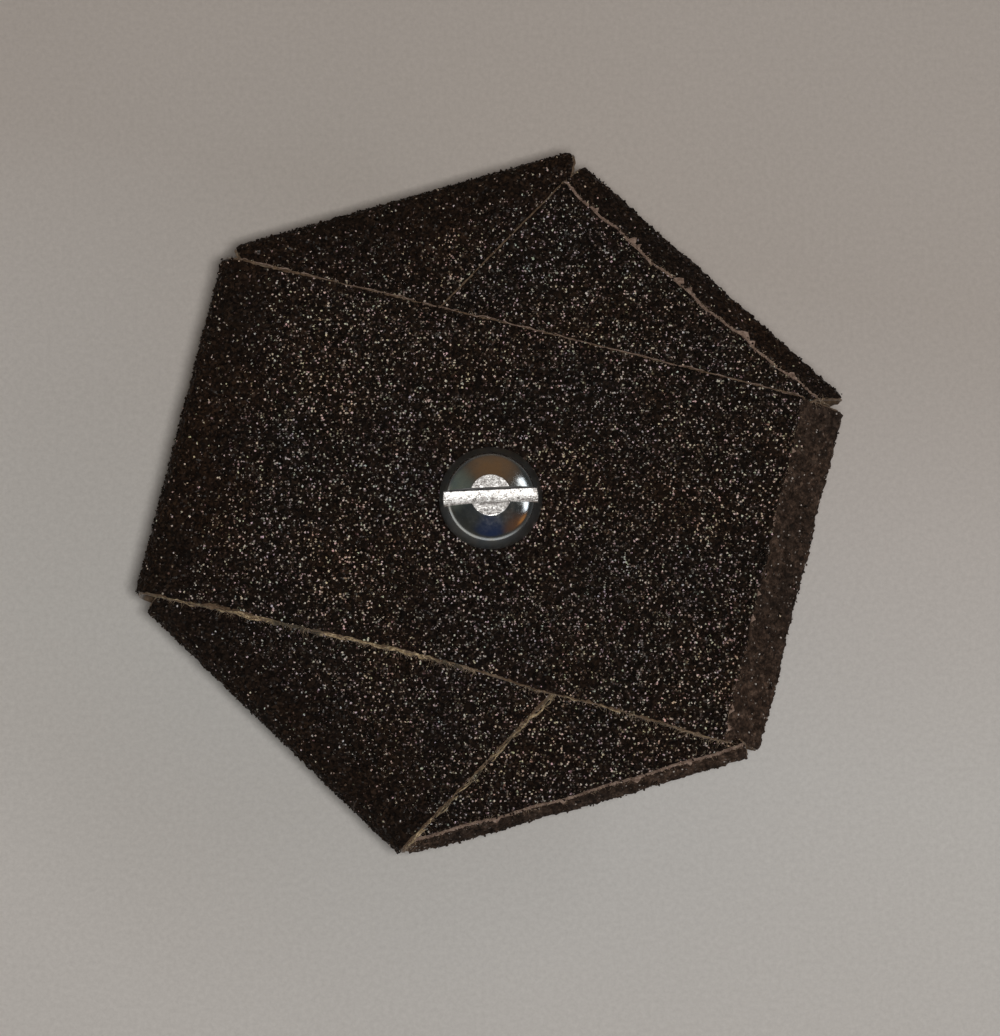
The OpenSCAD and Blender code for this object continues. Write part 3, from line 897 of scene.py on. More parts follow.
def yarns(strap, side, runs, name, seed, mat=None):
    """Warp yarns come loose along a cut edge: each run is (u0, u1, offset out, height, radius)."""
    rng = np.random.default_rng(strap.seed + 400 + seed)
    verts, faces = [], []
    u_flat = np.interp(strap.s_flat, strap.d, strap.line[:, 0])
    for u0, u1, out, height, rad in runs:
        n = max(6, int((u1 - u0) / 0.35))
        uu = np.linspace(u0, u1, n)
        s = np.clip(strap.s_flat + uu - u_flat, 0, strap.s_crease + 2)
        u, z, nu, nz = strap.at(s)
        lo, hi = strap.edges(s, u)
        v = (lo if side < 0 else hi) + side * (out + smooth_noise(rng, n, 5, 0.11) + rng.normal(0, 0.02, n))
        h = height + smooth_noise(rng, n, 5, 0.05) + rng.normal(0, 0.012, n)
        P = strap.world(u + nu * h + strap.warp(s, v), v, z + nz * h + strap.lift(s, u, v))
        r = rad * (0.8 + 0.35 * np.abs(smooth_noise(rng, n, 4, 1.0)))
        r[0] = r[-1] = 0.25 * rad
        tan = np.gradient(P, axis=0)
        tan /= np.linalg.norm(tan, axis=1)[:, None]
        up = np.array([0, 0, 1.0])
        a = np.cross(tan, up)
        a /= np.linalg.norm(a, axis=1)[:, None]
        b = np.cross(a, tan)
        k = 6
        base = len(verts)
        for i in range(n):
            for j in range(k):
                t = 2 * math.pi * j / k + 0.9 * i
                rr = r[i] * (1 + 0.18 * math.cos(3 * t))
                t = 2 * math.pi * j / k
                verts.append(P[i] + a[i] * rr * math.cos(t) + b[i] * rr * math.sin(t))
        for i in range(n - 1):
            for j in range(k):
                p, q = base + i * k + j, base + i * k + (j + 1) % k
                faces.append((p, q, q + k, p + k))
        faces.append(tuple(base + j for j in range(k))[::-1])
        faces.append(tuple(base + (n - 1) * k + j for j in range(k)))
    return new_object(name, verts, faces, [mat or YARN], smooth=True)


def edge_fibres(strap, side, count, spans, size=(0.35, 1.1), thick=(0.022, 0.045), seed=0, name=None):
    """Loose threads along a cut edge: side -1 or +1, spans a list of (u0, u1, weight) on the front."""
    rng = np.random.default_rng(strap.seed + 100 + seed)
    w = np.array([(b - a) * k for a, b, k in spans], float)
    pick = rng.choice(len(spans), count, p=w / w.sum())
    uu = np.array([rng.uniform(spans[i][0], spans[i][1]) for i in pick])
    # arc length from u on the front flat
    s = strap.s_flat + (uu - np.interp(strap.s_flat, strap.d, strap.line[:, 0]))
    s = np.clip(s, strap.s_flat - 4, strap.s_crease + 6)
    u, z, nu, nz = strap.at(s)
    lo, hi = strap.edges(np.sort(s), np.sort(u))
    order = np.argsort(np.argsort(s))
    v = (lo if side < 0 else hi)[order]
    depth = rng.uniform(-0.32, 0.02, count)
    vv = v - side * rng.uniform(0.0, 0.25, count)
    P = strap.world(u + nu * depth + strap.warp(s, vv), vv, z + nz * depth + strap.lift(s, u, vv))
    out = np.array([strap.ay[0], strap.ay[1], 0.0]) * side
    along = np.array([strap.ax[0], strap.ax[1], 0.0])
    D = out * rng.uniform(0.2, 1.0, count)[:, None] + along * rng.normal(0, 0.9, count)[:, None] \
        + np.array([0, 0, 1.0]) * rng.uniform(-0.25, 0.55, count)[:, None]
    L = rng.uniform(size[0], size[1], count) * np.where(rng.random(count) < 0.12, 1.7, 1.0)
    R = rng.uniform(thick[0], thick[1], count)
    return fibres(name, P, D, L, R, rng)


def crease_fibres(strap, count, weight, seed, name, size=(0.25, 0.8)):
    """Threads that stand out of the cracked coat along the front crease; weight is a function of v."""
    rng = np.random.default_rng(strap.seed + 200 + seed)
    v = []
    while len(v) < count:
        c = rng.uniform(-25, 25)
        if rng.random() < weight(c):
            v.append(c)
    v = np.array(v)
    s = strap.s_crease + rng.normal(0.1, 0.22, count)
    u, z, nu, nz = strap.at(s)
    h = STRAP_T / 2 - 0.12
    P = strap.world(u + nu * h + strap.warp(s, v), v, z + nz * h + strap.lift(s, u, v))
    along = np.array([strap.ay[0], strap.ay[1], 0.0])
    out = np.stack([nu * strap.ax[0], nu * strap.ax[1], nz], -1)
    tang = np.stack([nz * strap.ax[0], nz * strap.ax[1], -nu], -1)
    D = out * rng.uniform(0.1, 0.6, count)[:, None] + along * rng.normal(0, 1.0, count)[:, None] + tang * rng.normal(0, 0.5, count)[:, None]
    L = rng.uniform(size[0], size[1], count)
    R = rng.uniform(0.02, 0.045, count)
    return fibres(name, P, D, L, R, rng)


A = Strap("outer", OUTER_DIR, "strap_outer", 46.1, 4.0, 40.5, 46.3, 5.6, 41.5, seed=11)
B = Strap("middle", OUTER_DIR + 60, "strap_middle", 45.3, 3.4, 41.5, 46.0, 4.0, 42.0, shift=-0.6, seed=23)
C = Strap("inner", OUTER_DIR - 60, "strap_inner", 46.0, 2.3, 44.0, 45.8, 2.6, 44.0, seed=37)

punch = lathe("punch", [(0, -20), (AXIS_HOLE, -20), (AXIS_HOLE, 60), (0, 60)], 64, [CLOTH])
res = ((0.38, 0.58, 0.38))
pad_pieces = []
for strap in (A, B, C):
    g = build_grit(strap, *res)
    c = build_cloth(strap)
    for ob in (g, c):
        cut(ob, punch)
        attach(ob, "pad")
        pad_pieces.append(ob)
    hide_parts("strap_" + strap.name)
    x = crystals(strap, 1.05, 1)
    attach(x, "pad")

fray = [
    edge_fibres(A, -1, 900, [(-43, -34, 1.0), (-34, 1, 2.2), (1, 4, 3.2), (11, 15, 1.4), (15, 32, 0.7), (32, 43, 1.6)],
                seed=1, name="strap_outer_fray"),
    edge_fibres(A, 1, 220, [(-43, 43, 1.0)], size=(0.2, 0.55), seed=2, name="strap_outer_fray_top"),
    edge_fibres(B, -1, 520, [(-45, -10, 1.3), (-10, 43, 0.7)], seed=3, name="strap_middle_fray"),
    edge_fibres(C, 1, 120, [(-43, 43, 1.0)], size=(0.2, 0.6), seed=4, name="strap_inner_fray"),
    edge_fibres(C, -1, 120, [(-43, 43, 1.0)], size=(0.2, 0.6), seed=5, name="strap_inner_fray_left"),
    crease_fibres(A, 90, lambda v: 0.25 + 0.75 * (abs(v - 22) < 3) + 0.5 * (abs(v - 12) < 4) + 0.7 * (v < -22), 1, "strap_outer_crease_fray"),
    crease_fibres(B, 260, lambda v: 0.45 + 0.55 * (abs(v) < 16), 2, "strap_middle_crease_fray"),
    crease_fibres(C, 240, lambda v: 0.7, 3, "strap_inner_crease_fray"),
]
yr = np.random.default_rng(5)


def broken(u0, u1, part, gap, out, height, rad):
    """Runs of yarn with breaks between them."""
    runs, u = [], u0
    while u < u1:
        ln = yr.uniform(0.5, 1.6) * part
        runs.append((u, min(u1, u + ln), out + yr.normal(0, 0.05), height + yr.normal(0, 0.05), rad * yr.uniform(0.75, 1.25)))
        u += ln + yr.uniform(0.2, 1.8) * gap
    return runs


fray.append(yarns(A, -1, broken(-44, 1.5, 3.6, 1.3, 0.10, 0.14, 0.12) + broken(-40, 0.5, 2.6, 1.6, 0.30, -0.02, 0.10)
                  + broken(-38, -2, 2.4, 2.2, 0.00, 0.34, 0.085) + broken(-30, 1.0, 1.4, 2.0, 0.20, 0.22, 0.07)
                  + broken(11.5, 44, 3, 3.0, 0.03, 0.0, 0.08)
                  + broken(-27, -16, 1.1, 2.6, 0.34, 0.12, 0.16) + broken(-9, 2, 1.2, 1.8, 0.28, 0.16, 0.18), "strap_outer_yarns", 1))
fray.append(yarns(B, -1, broken(-45, 39, 4, 1.6, 0.10, 0.10, 0.12) + broken(-43, -6, 2.6, 1.8, 0.26, -0.04, 0.10)
                  + broken(-40, -4, 1.6, 2.4, 0.05, 0.30, 0.08), "strap_middle_yarns", 2))
fray.append(yarns(A, 1, broken(-44, -29, 3, 0.9, 0.02, 0.10, 0.085) + broken(-29, 43, 6, 0.8, 0.02, 0.16, 0.085), "strap_outer_yarns_top", 3, CREASE))


def flaps(strap, where, name, seed):
    """Slivers of torn coat that stand up along the crease: (v, reach past the crease, length, width)."""
    rng = np.random.default_rng(seed)
    verts, faces = [], []
    for v0, past, ln, wd in where:
        s0 = strap.s_crease + 0.15
        pts = []
        for ds, dv, h in ((0, -ln / 2, 0.28), (0, ln / 2, 0.30), (past * 0.6, ln * 0.22, 0.62), (past, -ln * 0.05, 0.80), (past * 0.5, -ln * 0.3, 0.55)):
            s_, v_ = np.array([s0 + ds * wd]), np.array([v0 + dv + rng.normal(0, 0.04)])
            u, z, nu, nz = strap.at(s_)
            pts.append(strap.world(u + nu * h + strap.warp(s_, v_), v_, z + nz * h)[0])
        base = len(verts)
        for lift in (0.0, 0.09):
            for q in pts:
                verts.append(q + np.array([0, 0, lift]))
        k = len(pts)
        faces.append(tuple(base + j for j in range(k))[::-1])
        faces.append(tuple(base + k + j for j in range(k)))
        for j in range(k):
            j2 = (j + 1) % k
            faces.append((base + j, base + j2, base + k + j2, base + k + j))
    ob = new_object(name, verts, faces, [PALE], smooth=False)
    import bmesh
    bm = bmesh.new()
    bm.from_mesh(ob.data)
    bmesh.ops.triangulate(bm, faces=bm.faces)
    bmesh.ops.recalc_face_normals(bm, faces=bm.faces)
    bm.to_mesh(ob.data)
    bm.free()
    return ob


fray.append(flaps(B, [(12.1, 1.0, 1.5, 1.0), (10.9, 0.6, 0.9, 1.0), (3.1, 0.9, 2.0, 1.0), (1.2, 0.5, 1.0, 1.0), (-9.1, 0.8, 2.6, 0.9),
                      (-10.8, 0.6, 1.2, 0.9), (19.0, 0.4, 0.8, 1.0), (-18.0, 0.5, 1.2, 0.8)], "strap_middle_flaps", 3))
fray.append(flaps(A, [(-4.1, 0.4, 1.0, 0.7), (-7.8, 0.4, 1.3, 0.7), (17.3, 0.4, 0.9, 0.7), (12.8, 0.3, 0.7, 0.7), (-21.2, 0.5, 1.7, 0.8),
                      (-23.9, 0.5, 1.4, 0.9)], "strap_outer_flaps", 5))
fray.append(flaps(C, [(9.0, 0.5, 1.6, 0.8), (-2.0, 0.4, 1.2, 0.8), (-12.0, 0.5, 1.4, 0.8), (17.0, 0.4, 1.0, 0.8)], "strap_inner_flaps", 4))
for ob in fray:
    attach(ob, "pad")


# ------------------------------------------------------- screw, in the frame
s_lo, s_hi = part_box("clamp_screw")
Z_TOP = s_hi.z / MM            # top of the head
HEAD_H, HEAD_R, FLAT_R, RIM = 3.7, 7.45, 2.95, 0.25
Z_HEAD = Z_TOP - HEAD_H        # under the head
SLOT_W, SLOT_D = 2.25, 2.3
SLOT_DIR = math.radians(2.7)
R_MAJ, R_ROOT, THREAD_P = 3.17, 2.45, 1.27


def build_head():
    """Mushroom head: flat crinkled top, dome, rolled rim, and the slot cut right across."""
    # slope of the dome at each radius: it falls away gently from the flat and turns down hard at the rim
    rr = np.linspace(FLAT_R, HEAD_R, 40)
    slope = np.interp(rr, [2.95, 3.5, 4.0, 4.5, 5.0, 5.4, 5.7, 6.2, 6.5, 6.9, 7.2, 7.45],
                      [0.42, 0.44, 0.46, 0.50, 0.56, 0.63, 0.74, 1.25, 1.60, 1.85, 2.2, 2.6])
    fall = np.r_[0, np.cumsum((slope[1:] + slope[:-1]) / 2 * np.diff(rr))]
    fall *= (HEAD_H - RIM) / fall[-1]
    prof = [(0.0, 0.0), (3.0, 0.0), (HEAD_R - 0.22, 0.0), (HEAD_R - 0.10, 0.03), (HEAD_R - 0.03, 0.10), (HEAD_R - 0.005, 0.18)]
    prof += [(float(r), float(HEAD_H - f)) for r, f in zip(rr[::-1], fall[::-1])]
    prof += [(FLAT_R - 0.10, HEAD_H), (2.2, HEAD_H), (1.4, HEAD_H), (0.7, HEAD_H), (0.0, HEAD_H)]
    ob = lathe("screw_head", [(r, z + Z_HEAD) for r, z in prof], 192, [ZINC_DOME, ZINC_MATTE, ZINC_FLAT])
    # slot tool with slightly rounded floor corners, run across the head
    w, d = SLOT_W / 2, SLOT_D
    zf = Z_TOP - d
    f = 0.18
    sec = [(-w, Z_TOP + 2), (-w, zf + f)] + [(-w + f - f * math.cos(math.radians(a)), zf + f - f * math.sin(math.radians(a))) for a in (30, 60, 90)] \
        + [(w - f + f * math.sin(math.radians(a)), zf + f - f * math.cos(math.radians(a))) for a in (0, 30, 60)] + [(w, zf + f), (w, Z_TOP + 2)]
    m = 60
    verts, faces = [], []
    c, s = math.cos(SLOT_DIR), math.sin(SLOT_DIR)
    for i in range(m):
        x = -9 + 18 * i / (m - 1)
        for y, z in sec:
            verts.append((x * c - y * s, x * s + y * c, z))
    k = len(sec)
    for i in range(m - 1):
        for j in range(k):
            j2 = (j + 1) % k
            faces.append((i * k + j, i * k + j2, (i + 1) * k + j2, (i + 1) * k + j))
    faces.append(tuple(range(k))[::-1])
    faces.append(tuple((m - 1) * k + j for j in range(k)))
    tool = new_object("slot_tool", verts, faces, [ZINC_MATTE])
    import bmesh
    bm = bmesh.new()
    bm.from_mesh(tool.data)
    bmesh.ops.recalc_face_normals(bm, faces=bm.faces)
    bm.to_mesh(tool.data)
    bm.free()
    cut(ob, tool, "EXACT")
    remove(tool)
    # bevel the sharp edges that the slot leaves
    bv = ob.modifiers.new("bevel", "BEVEL")
    bv.width = 0.13 * MM
    bv.segments = 2
    bv.limit_method = "ANGLE"
    bv.angle_limit = math.radians(38)
    apply_modifiers(ob)
    # matte on the flat top, the slot floor and its walls
    me = ob.data
    cen = np.zeros(len(me.polygons) * 3)
    nor = np.zeros(len(me.polygons) * 3)
    me.polygons.foreach_get("center", cen)
    me.polygons.foreach_get("normal", nor)
    cen, nor = cen.reshape(-1, 3) / MM, nor.reshape(-1, 3)
    r = np.hypot(cen[:, 0], cen[:, 1])
    y = -cen[:, 0] * math.sin(SLOT_DIR) + cen[:, 1] * math.cos(SLOT_DIR)
    flat = (r < FLAT_R + 0.02) & (cen[:, 2] > Z_TOP - 0.03)
    floor_ = (np.abs(y) < SLOT_W / 2 + 0.02) & (cen[:, 2] < Z_TOP - SLOT_D + 0.12) & (nor[:, 2] > 0.5) & (cen[:, 2] > Z_TOP - SLOT_D - 0.1)
    # painted shade: the walls take the very dark zinc, for the shade inside the slot
    wall = (np.abs(y) < SLOT_W / 2 + 0.13) & (np.abs(y) > SLOT_W / 2 - 0.16) & (cen[:, 2] < Z_TOP - 0.01) & ~floor_
    wall &= np.abs(nor[:, 0] * -math.sin(SLOT_DIR) + nor[:, 1] * math.cos(SLOT_DIR)) > 0.3
    # painted dark reflection: the rim takes the darkened zinc, for the dark pad it reflects
    rim = (r > 6.42) & ~wall
    flat &= ~wall
    kind = np.where(flat, 2, np.where(floor_, 1, np.where(rim, 3, np.where(wall, 4, 0))))
    me.materials.clear()
    for m in (ZINC_DOME, ZINC_MATTE, ZINC_FLAT, ZINC_RIM_PAINTED_DARK, ZINC_SLOT_WALL_PAINTED_SHADE):
        me.materials.append(m)
    me.polygons.foreach_set("material_index", kind.astype(np.int32))
    bevel_normals(ob, 32)
    return ob


def build_thread(z0, z1, name):
    """Rolled 1/4-20 thread as one closed solid: a helical crest and root, with a bevelled start."""
    around, per = 64, 14
    rows = int((z1 - z0) / THREAD_P * per)
    zz = np.linspace(z0, z1, rows + 1)
    th = np.linspace(0, 2 * math.pi, around, endpoint=False)
    ph = (zz[:, None] / THREAD_P - th[None, :] / (2 * math.pi)) % 1.0
    tri = 1 - np.abs(ph * 2 - 1)                      # 0 at the root, 1 at the crest
    prof = np.clip((tri - 0.14) / (0.84 - 0.14), 0, 1)
    prof = prof * prof * (3 - 2 * prof) * 0.35 + prof * 0.65
    R = R_ROOT + (R_MAJ - R_ROOT) * prof
    R = np.minimum(R, np.clip(2.3 + (zz[:, None] - z0) * 1.0, 0, R_MAJ))
    verts = [(0, 0, z0)]
    P = np.stack([R * np.cos(th), R * np.sin(th), np.repeat(zz[:, None], around, 1)], -1).reshape(-1, 3)
    verts = np.concatenate([P, [[0, 0, z0], [0, 0, z1]]])
    idx = np.arange((rows + 1) * around).reshape(rows + 1, around)
    a, b = idx[:-1], idx[1:]
    quads = np.stack([a, np.roll(a, -1, 1), np.roll(b, -1, 1), b], -1).reshape(-1, 4)
    faces = [tuple(int(x) for x in q) for q in quads]
    lo, hi = len(P), len(P) + 1
    for i in range(around):
        j = (i + 1) % around
        faces.append((int(idx[0][j]), int(idx[0][i]), lo))
        faces.append((int(idx[-1][i]), int(idx[-1][j]), hi))
    ob = new_object(name, verts, faces, [ZINC_THREAD], smooth=True)
    return bevel_normals(ob, 42)


head = build_head()
thread = build_thread(s_lo.z / MM, Z_HEAD + 0.4, "screw_thread")
for ob in (head, thread):
    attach(ob, "screw")
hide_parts("clamp_screw")


# ------------------------------------------------------------------ washers
f_lo, f_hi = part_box("fender_washer")
z0, z1 = f_lo.z / MM, f_hi.z / MM


def ring_profile(ri, ro, z0, z1, roll, burr, n=5):
    """Blanked ring: rolled edges where the punch went in, sharp ones where it came out."""
    pts = []
    for i in range(n + 1):
        a = math.pi / 2 * i / n
        pts.append((ri + roll - roll * math.sin(a), z0 + roll - roll * math.cos(a)))
    pts = [(ri + roll, z0)] + [(ri + roll * (1 - math.sin(math.pi / 2 * i / n)), z0 + roll * (1 - math.cos(math.pi / 2 * i / n))) for i in range(1, n + 1)]
    pts += [(ri, z1 - burr), (ri + burr, z1)]
    pts += [(ri + (ro - ri) * k / 5, z1) for k in range(1, 5)]
    pts += [(ro - burr, z1), (ro, z1 - burr)]
    pts += [(ro - roll * (1 - math.cos(math.pi / 2 * i / n)), z0 + roll * (1 - math.sin(math.pi / 2 * i / n))) for i in range(0, n + 1)]
    pts += [(ro - roll - (ro - ri - 2 * roll) * k / 5, z0) for k in range(1, 5)]
    return pts


fender = lathe("fender_washer_ring", ring_profile(3.55, 12.7, z0, z1, 0.32, 0.06)[::-1], 160, [ZINC_WASHER])
bevel_normals(fender, 50)
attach(fender, "washers")
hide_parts("fender_washer")


def build_lock():
    """Split spring washer: a trapezoid section swept almost once round, its two ends a hair out of line."""
    lo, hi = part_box("lock_washer")
    z0, z1 = lo.z / MM, hi.z / MM
    ri, ro = 3.3, 6.2
    zm, h = (z0 + z1) / 2, (z1 - z0) / 2
    n = 120
    gap = math.radians(9)
    b = 0.14
    verts, faces = [], []
    sec = [(ri, -h + b), (ri + b, -h), (ro - b, -h), (ro, -h + b), (ro, h - b), (ro - b, h), (ri + b, h), (ri, h - b)]
    start = math.radians(200) + gap / 2
    k = len(sec)
    for i in range(n + 1):
        t = i / n
        a0 = start + (2 * math.pi - gap) * t
        for r, z in sec:
            slant = z * 0.47 / r * (1 if True else 0)   # the ends are cut at a slant
            edge = max(0.0, 1 - min(t, 1 - t) * 14)
            a = a0 + slant * edge
            verts.append((r * math.cos(a), r * math.sin(a), zm + z * 0.985))
    for i in range(n):
        for j in range(k):
            j2 = (j + 1) % k
            faces.append((i * k + j, (i + 1) * k + j, (i + 1) * k + j2, i * k + j2))
    faces.append(tuple(range(k)))
    faces.append(tuple(n * k + j for j in range(k))[::-1])
    ob = new_object("lock_washer_ring", verts, faces, [SPRING], smooth=True)
    import bmesh
    bm = bmesh.new()
    bm.from_mesh(ob.data)
    bmesh.ops.recalc_face_normals(bm, faces=bm.faces)
    bm.to_mesh(ob.data)
    bm.free()
    return bevel_normals(ob, 30)


lock = build_lock()
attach(lock, "washers")
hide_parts("lock_washer")


# ----------------------------------------------------------------- wing nut
def build_wing_nut():
    """Cold-forged wing nut: hub and wings run into each other with soft fillets."""
    lo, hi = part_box("wing_nut")
    top = hi.z / MM                 # washer face
    hub_h, hub_d, hub_top = 7.1, 13.6, 11.2
    span, wh, wt, wr = 28.4, 12.9, 3.2, 4.3
    direction = math.radians(28)

    def place(p):
        x, y, z = p                 # z up from the washer face, then turned over as in the frame
        y, z = -y, -z
        c, s = math.cos(direction), math.sin(direction)
        return (x * c - y * s, x * s + y * c, top + z)

    parts = []
    hub = [(0, 0), (hub_d / 2 - 0.3, 0), (hub_d / 2, 0.3)]
    for i in range(1, 9):
        t = i / 9
        hub.append((hub_d / 2 - (hub_d - hub_top) / 2 * (t ** 0.8), 0.3 + (hub_h - 0.6) * t))
    hub += [(hub_top / 2, hub_h - 0.3), (hub_top / 2 - 0.3, hub_h), (0, hub_h)]
    parts.append(lathe("wn_hub", hub, 96, [ZINC_NUT]))
    x, z = span / 2 - wr, wh - wr
    for sgn in (1, -1):
        outline = [(3.4, 0.9), (hub_d / 2 + 0.3, 0.9)]
        # outer edge, a slight hollow, then round the tip and back down to the hub
        a, b = np.array(outline[-1]), np.array([x + wr * math.cos(math.radians(-28)), z + wr * math.sin(math.radians(-28))])
        for i in range(1, 8):
            t = i / 8
            q = a + (b - a) * t
            nrm = unit(np.array([(b - a)[1], -(b - a)[0]]))
            outline.append(tuple(q - nrm * 0.55 * math.sin(math.pi * t)))
        for i in range(25):
            ang = math.radians(-28 + 180 * i / 24)
            outline.append((x + wr * math.cos(ang), z + wr * math.sin(ang)))
        a = np.array(outline[-1])
        b = np.array([hub_top / 2 - 0.9, hub_h - 0.4])
        for i in range(1, 8):
            t = i / 8
            q = a + (b - a) * t
            nrm = unit(np.array([(b - a)[1], -(b - a)[0]]))
            outline.append(tuple(q - nrm * 0.35 * math.sin(math.pi * t)))
        outline += [tuple(b), (3.4, hub_h - 0.4)]
        k = len(outline)
        verts, faces = [], []
        for side in (-1, 1):
            for px, pz in outline:
                # the wing is thicker at its root and dished on its flat
                far = min(1.0, max(0.0, (px - 5) / 9))
                half = wt / 2 * (1.06 - 0.20 * far)
                verts.append((sgn * px, side * half, pz))
        for i in range(k):
            j = (i + 1) % k
            faces.append((i, j, k + j, k + i))
        faces.append(tuple(range(k))[::-1])
        faces.append(tuple(range(k, 2 * k)))
        ob = new_object("wn_wing", verts, faces, [ZINC_NUT])
        parts.append(ob)
    import bmesh
    bm = bmesh.new()
    for ob in parts:
        bm.from_mesh(ob.data)
    bmesh.ops.recalc_face_normals(bm, faces=bm.faces)
    for v in bm.verts:
        v.co = Vector(place(tuple(c / MM for c in v.co))) * MM
    me = bpy.data.meshes.new("wing_nut_body")
    bm.to_mesh(me)
    bm.free()
    for ob in parts:
        remove(ob)
    me.materials.append(ZINC_NUT)
    ob = bpy.data.objects.new("wing_nut_body", me)
    bpy.context.scene.collection.objects.link(ob)
    r = ob.modifiers.new("voxel", "REMESH")
    r.mode = "VOXEL"
    r.voxel_size = 0.22 * MM
    sm = ob.modifiers.new("soft", "SMOOTH")
    sm.factor = 0.5
    sm.iterations = 9
    apply_modifiers(ob)
    # dish each wing's flats a little, as forging dies leave them
    n = len(ob.data.vertices)
    co = np.zeros(n * 3)
    ob.data.vertices.foreach_get("co", co)
    co = co.reshape(-1, 3) / MM
    c, s = math.cos(direction), math.sin(direction)
    lx, ly, lz = co[:, 0] * c + co[:, 1] * s, -(-co[:, 0] * s + co[:, 1] * c), top - co[:, 2]
    d = np.hypot(np.abs(lx) - x, lz - z)
    dish = 0.42 * np.clip(1 - (d / 3.2) ** 2, 0, 1) * (np.abs(lx) > 6.5)
    ly2 = ly - np.sign(ly) * dish
    lz2 = np.maximum(lz, 0.0)
    yy = -ly2
    co2 = np.stack([lx * c - yy * s, lx * s + yy * c, top - lz2], -1)
    ob.data.vertices.foreach_set("co", (co2 * MM).astype(np.float32).ravel())
    ob.data.update()
    bore = lathe("wn_bore", [(0, top - 20), (3.9, top - 20), (3.9, top - hub_h + 0.0), (3.2, top - hub_h + 0.7), (3.2, top - 0.6),
                             (3.85, top + 0.05), (3.85, top + 4), (0, top + 4)], 72, [ZINC_NUT])
    cut(ob, bore, "MANIFOLD")
    remove(bore)
    ob.data.materials.clear()
    ob.data.materials.append(ZINC_NUT)
    ob.data.polygons.foreach_set("material_index", np.zeros(len(ob.data.polygons), np.int32))
    return bevel_normals(ob, 34)


nut = build_wing_nut()
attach(nut, "nut")
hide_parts("wing_nut")

remove(punch)

# --------------------------------------------------------------------- core
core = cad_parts["backing_core"]
core.data.materials.clear()
core.data.materials.append(WOOD)

# ------------------------------------------------------------ floor, lights
lo_all, hi_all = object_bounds()
floor_z = CAD_BOX[0].z - 0.00005
half = 1.2
floor = new_object("floor", [(-half / MM, -half / MM, floor_z / MM), (half / MM, -half / MM, floor_z / MM),
                             (half / MM, half / MM, floor_z / MM), (-half / MM, half / MM, floor_z / MM)],
                   [(0, 1, 2, 3)], [paper_material()])

AIM = Vector((0.0, 0.0, 0.0317))
TILT = math.radians(8.0)
SIDE = math.radians(0.0)
DIST = 0.90
view_dir = Vector((math.sin(SIDE), -math.sin(TILT) * math.cos(SIDE), math.cos(TILT) * math.cos(SIDE))).normalized()
cam_data = bpy.data.cameras.new("camera")
cam = bpy.data.objects.new("camera", cam_data)
bpy.context.scene.collection.objects.link(cam)
cam.location = AIM + view_dir * DIST
# keep the picture's vertical along the frame's +Y
z = view_dir
x = Vector((0, 1, 0)).cross(z).normalized()
y = z.cross(x).normalized()
from mathutils import Matrix
rot = Matrix((x, y, z)).transposed().to_4x4()
cam.matrix_world = Matrix.Translation(cam.location) @ rot
cam_data.sensor_fit = "AUTO"
cam_data.sensor_width = 36.0
PX = 0.1440 * MM                       # millimetres to a pixel of the 1000 x 1036 frame at the pad's face
cam_data.lens = 36.0 * DIST / (1036 * PX)
# the screw's centre sits at (490.7, 498.4) in the frame
cam_data.shift_x = (500 - 490.7) / 1036.0
cam_data.shift_y = -(518 - 498.4) / 1036.0
cam_data.clip_start, cam_data.clip_end = 0.01, 10.0
cam_data.dof.use_dof = False
bpy.context.scene.camera = cam


def area(name, loc, aim, size, energy, color, size_y=None):
    d = bpy.data.lights.new(name, "AREA")
    d.shape = "RECTANGLE" if size_y else "SQUARE"
    d.size = size
    if size_y:
        d.size_y = size_y
    d.energy = energy
    d.color = color
    o = bpy.data.objects.new(name, d)
    o.location = loc
    o.rotation_mode = "QUATERNION"
    o.rotation_quaternion = (Vector(aim) - Vector(loc)).to_track_quat("-Z", "Y")
    bpy.context.scene.collection.objects.link(o)
    return o


c0 = cam.location
area("flash", (c0.x + 0.028, c0.y - 0.008, c0.z - 0.01), AIM, 0.080, 3.15, (1.0, 0.975, 0.93), 0.055)
area("window_right", (0.49, 0.11, 0.44), AIM, 0.50, 0.38, (0.95, 0.98, 1.0), 0.11)


def sky(nt, vec, toward, wide, colour, into):
    """Add a soft patch of colour to the world in one direction."""
    d = Vector(toward).normalized()
    dot = nt.nodes.new("ShaderNodeVectorMath")
    dot.operation = "DOT_PRODUCT"
    dot.inputs[1].default_value = d
    nt.links.new(vec, dot.inputs[0])
    edge = math.cos(math.radians(wide))
    r = ramp(nt, dot.outputs["Value"], [(edge, grey(0.0)), (1.0, grey(1.0))], "EASE")
    return mix(nt, r.outputs["Color"], into, colour)


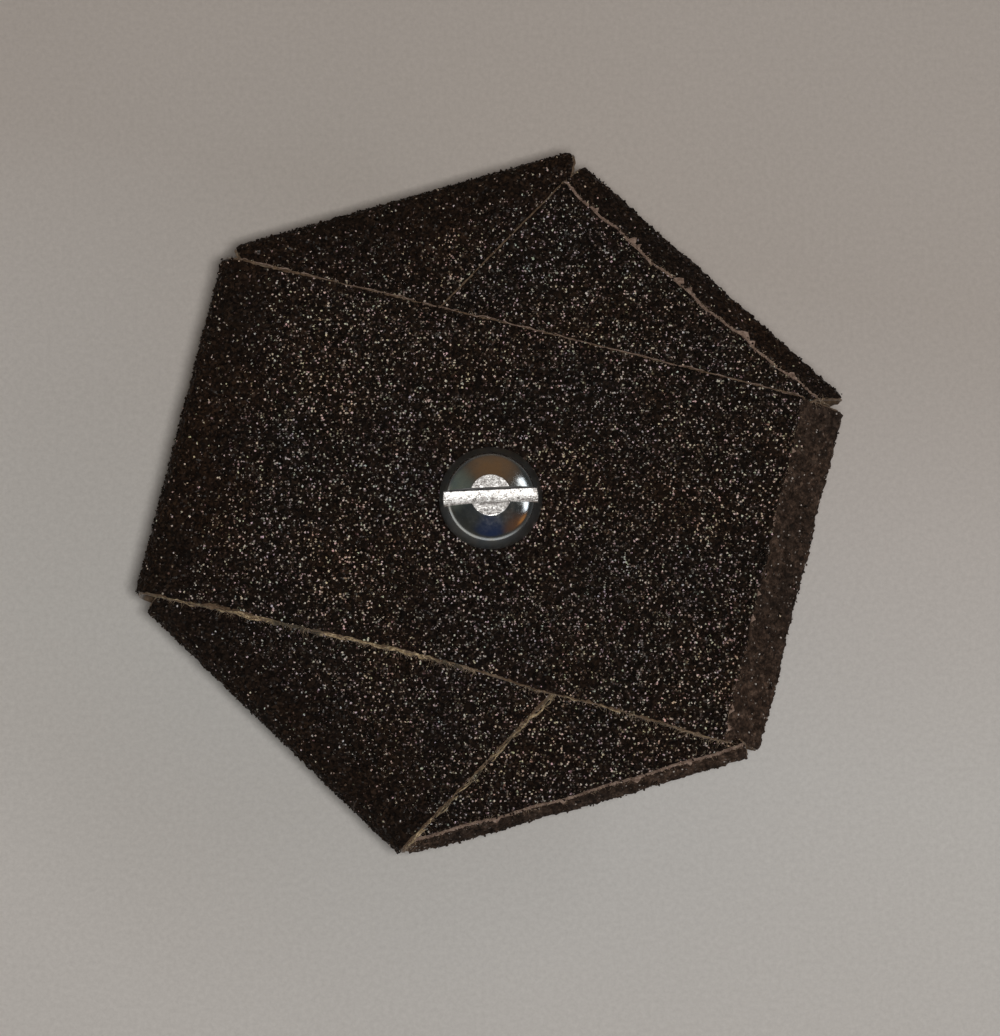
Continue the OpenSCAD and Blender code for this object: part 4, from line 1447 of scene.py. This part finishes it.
world = bpy.data.worlds.new("studio")
bpy.context.scene.world = world
world.use_nodes = True
wn = world.node_tree
wn.nodes.clear()
w_out = wn.nodes.new("ShaderNodeOutputWorld")
bg = wn.nodes.new("ShaderNodeBackground")
wn.links.new(bg.outputs["Background"], w_out.inputs["Surface"])
w_tc = wn.nodes.new("ShaderNodeTexCoord")
w_vec = w_tc.outputs["Generated"]
w_sep = wn.nodes.new("ShaderNodeSeparateXYZ")
wn.links.new(w_vec, w_sep.inputs["Vector"])
# a dim room: pale low band round the horizon, dark above, warm wood on one side, blue on the other
band = ramp(wn, w_sep.outputs["Z"], [(0.0, (0.080, 0.080, 0.076)), (0.10, (0.070, 0.070, 0.066)), (0.24, (0.046, 0.046, 0.042)),
                                     (0.70, (0.030, 0.031, 0.029)), (1.0, (0.040, 0.042, 0.042))])
room = sky(wn, w_vec, (0.02, 0.80, 0.62), 46, (0.135, 0.080, 0.045), band.outputs["Color"])
room = sky(wn, w_vec, (-0.80, 0.30, 0.55), 34, (0.115, 0.125, 0.100), room)
room = sky(wn, w_vec, (0.0, -0.72, 0.70), 28, (0.017, 0.027, 0.064), room)
room = sky(wn, w_vec, (0.60, -0.56, 0.58), 24, (0.105, 0.052, 0.030), room)
low = ramp(wn, w_sep.outputs["Z"], [(0.0, grey(1.0)), (0.10, grey(0.75)), (0.25, grey(0.0))])
side_dot = wn.nodes.new("ShaderNodeVectorMath")
side_dot.operation = "DOT_PRODUCT"
side_dot.inputs[1].default_value = (-0.52, -0.85, 0.0)
wn.links.new(w_vec, side_dot.inputs[0])
near = ramp(wn, side_dot.outputs["Value"], [(0.0, grey(0.0)), (0.75, grey(1.0))], "EASE")
room = mix(wn, math_node(wn, "MULTIPLY", low.outputs["Color"], near.outputs["Color"]), room, (0.66, 0.66, 0.64))
room = sky(wn, w_vec, (0.76, -0.42, 0.50), 12, (0.44, 0.18, 0.05), room)
wn.links.new(room, bg.inputs["Color"])
bg.inputs["Strength"].default_value = 1.0

vs = bpy.context.scene.view_settings
vs.view_transform = "Standard"
vs.look = "None"
vs.exposure = 0.0
vs.gamma = 1.0
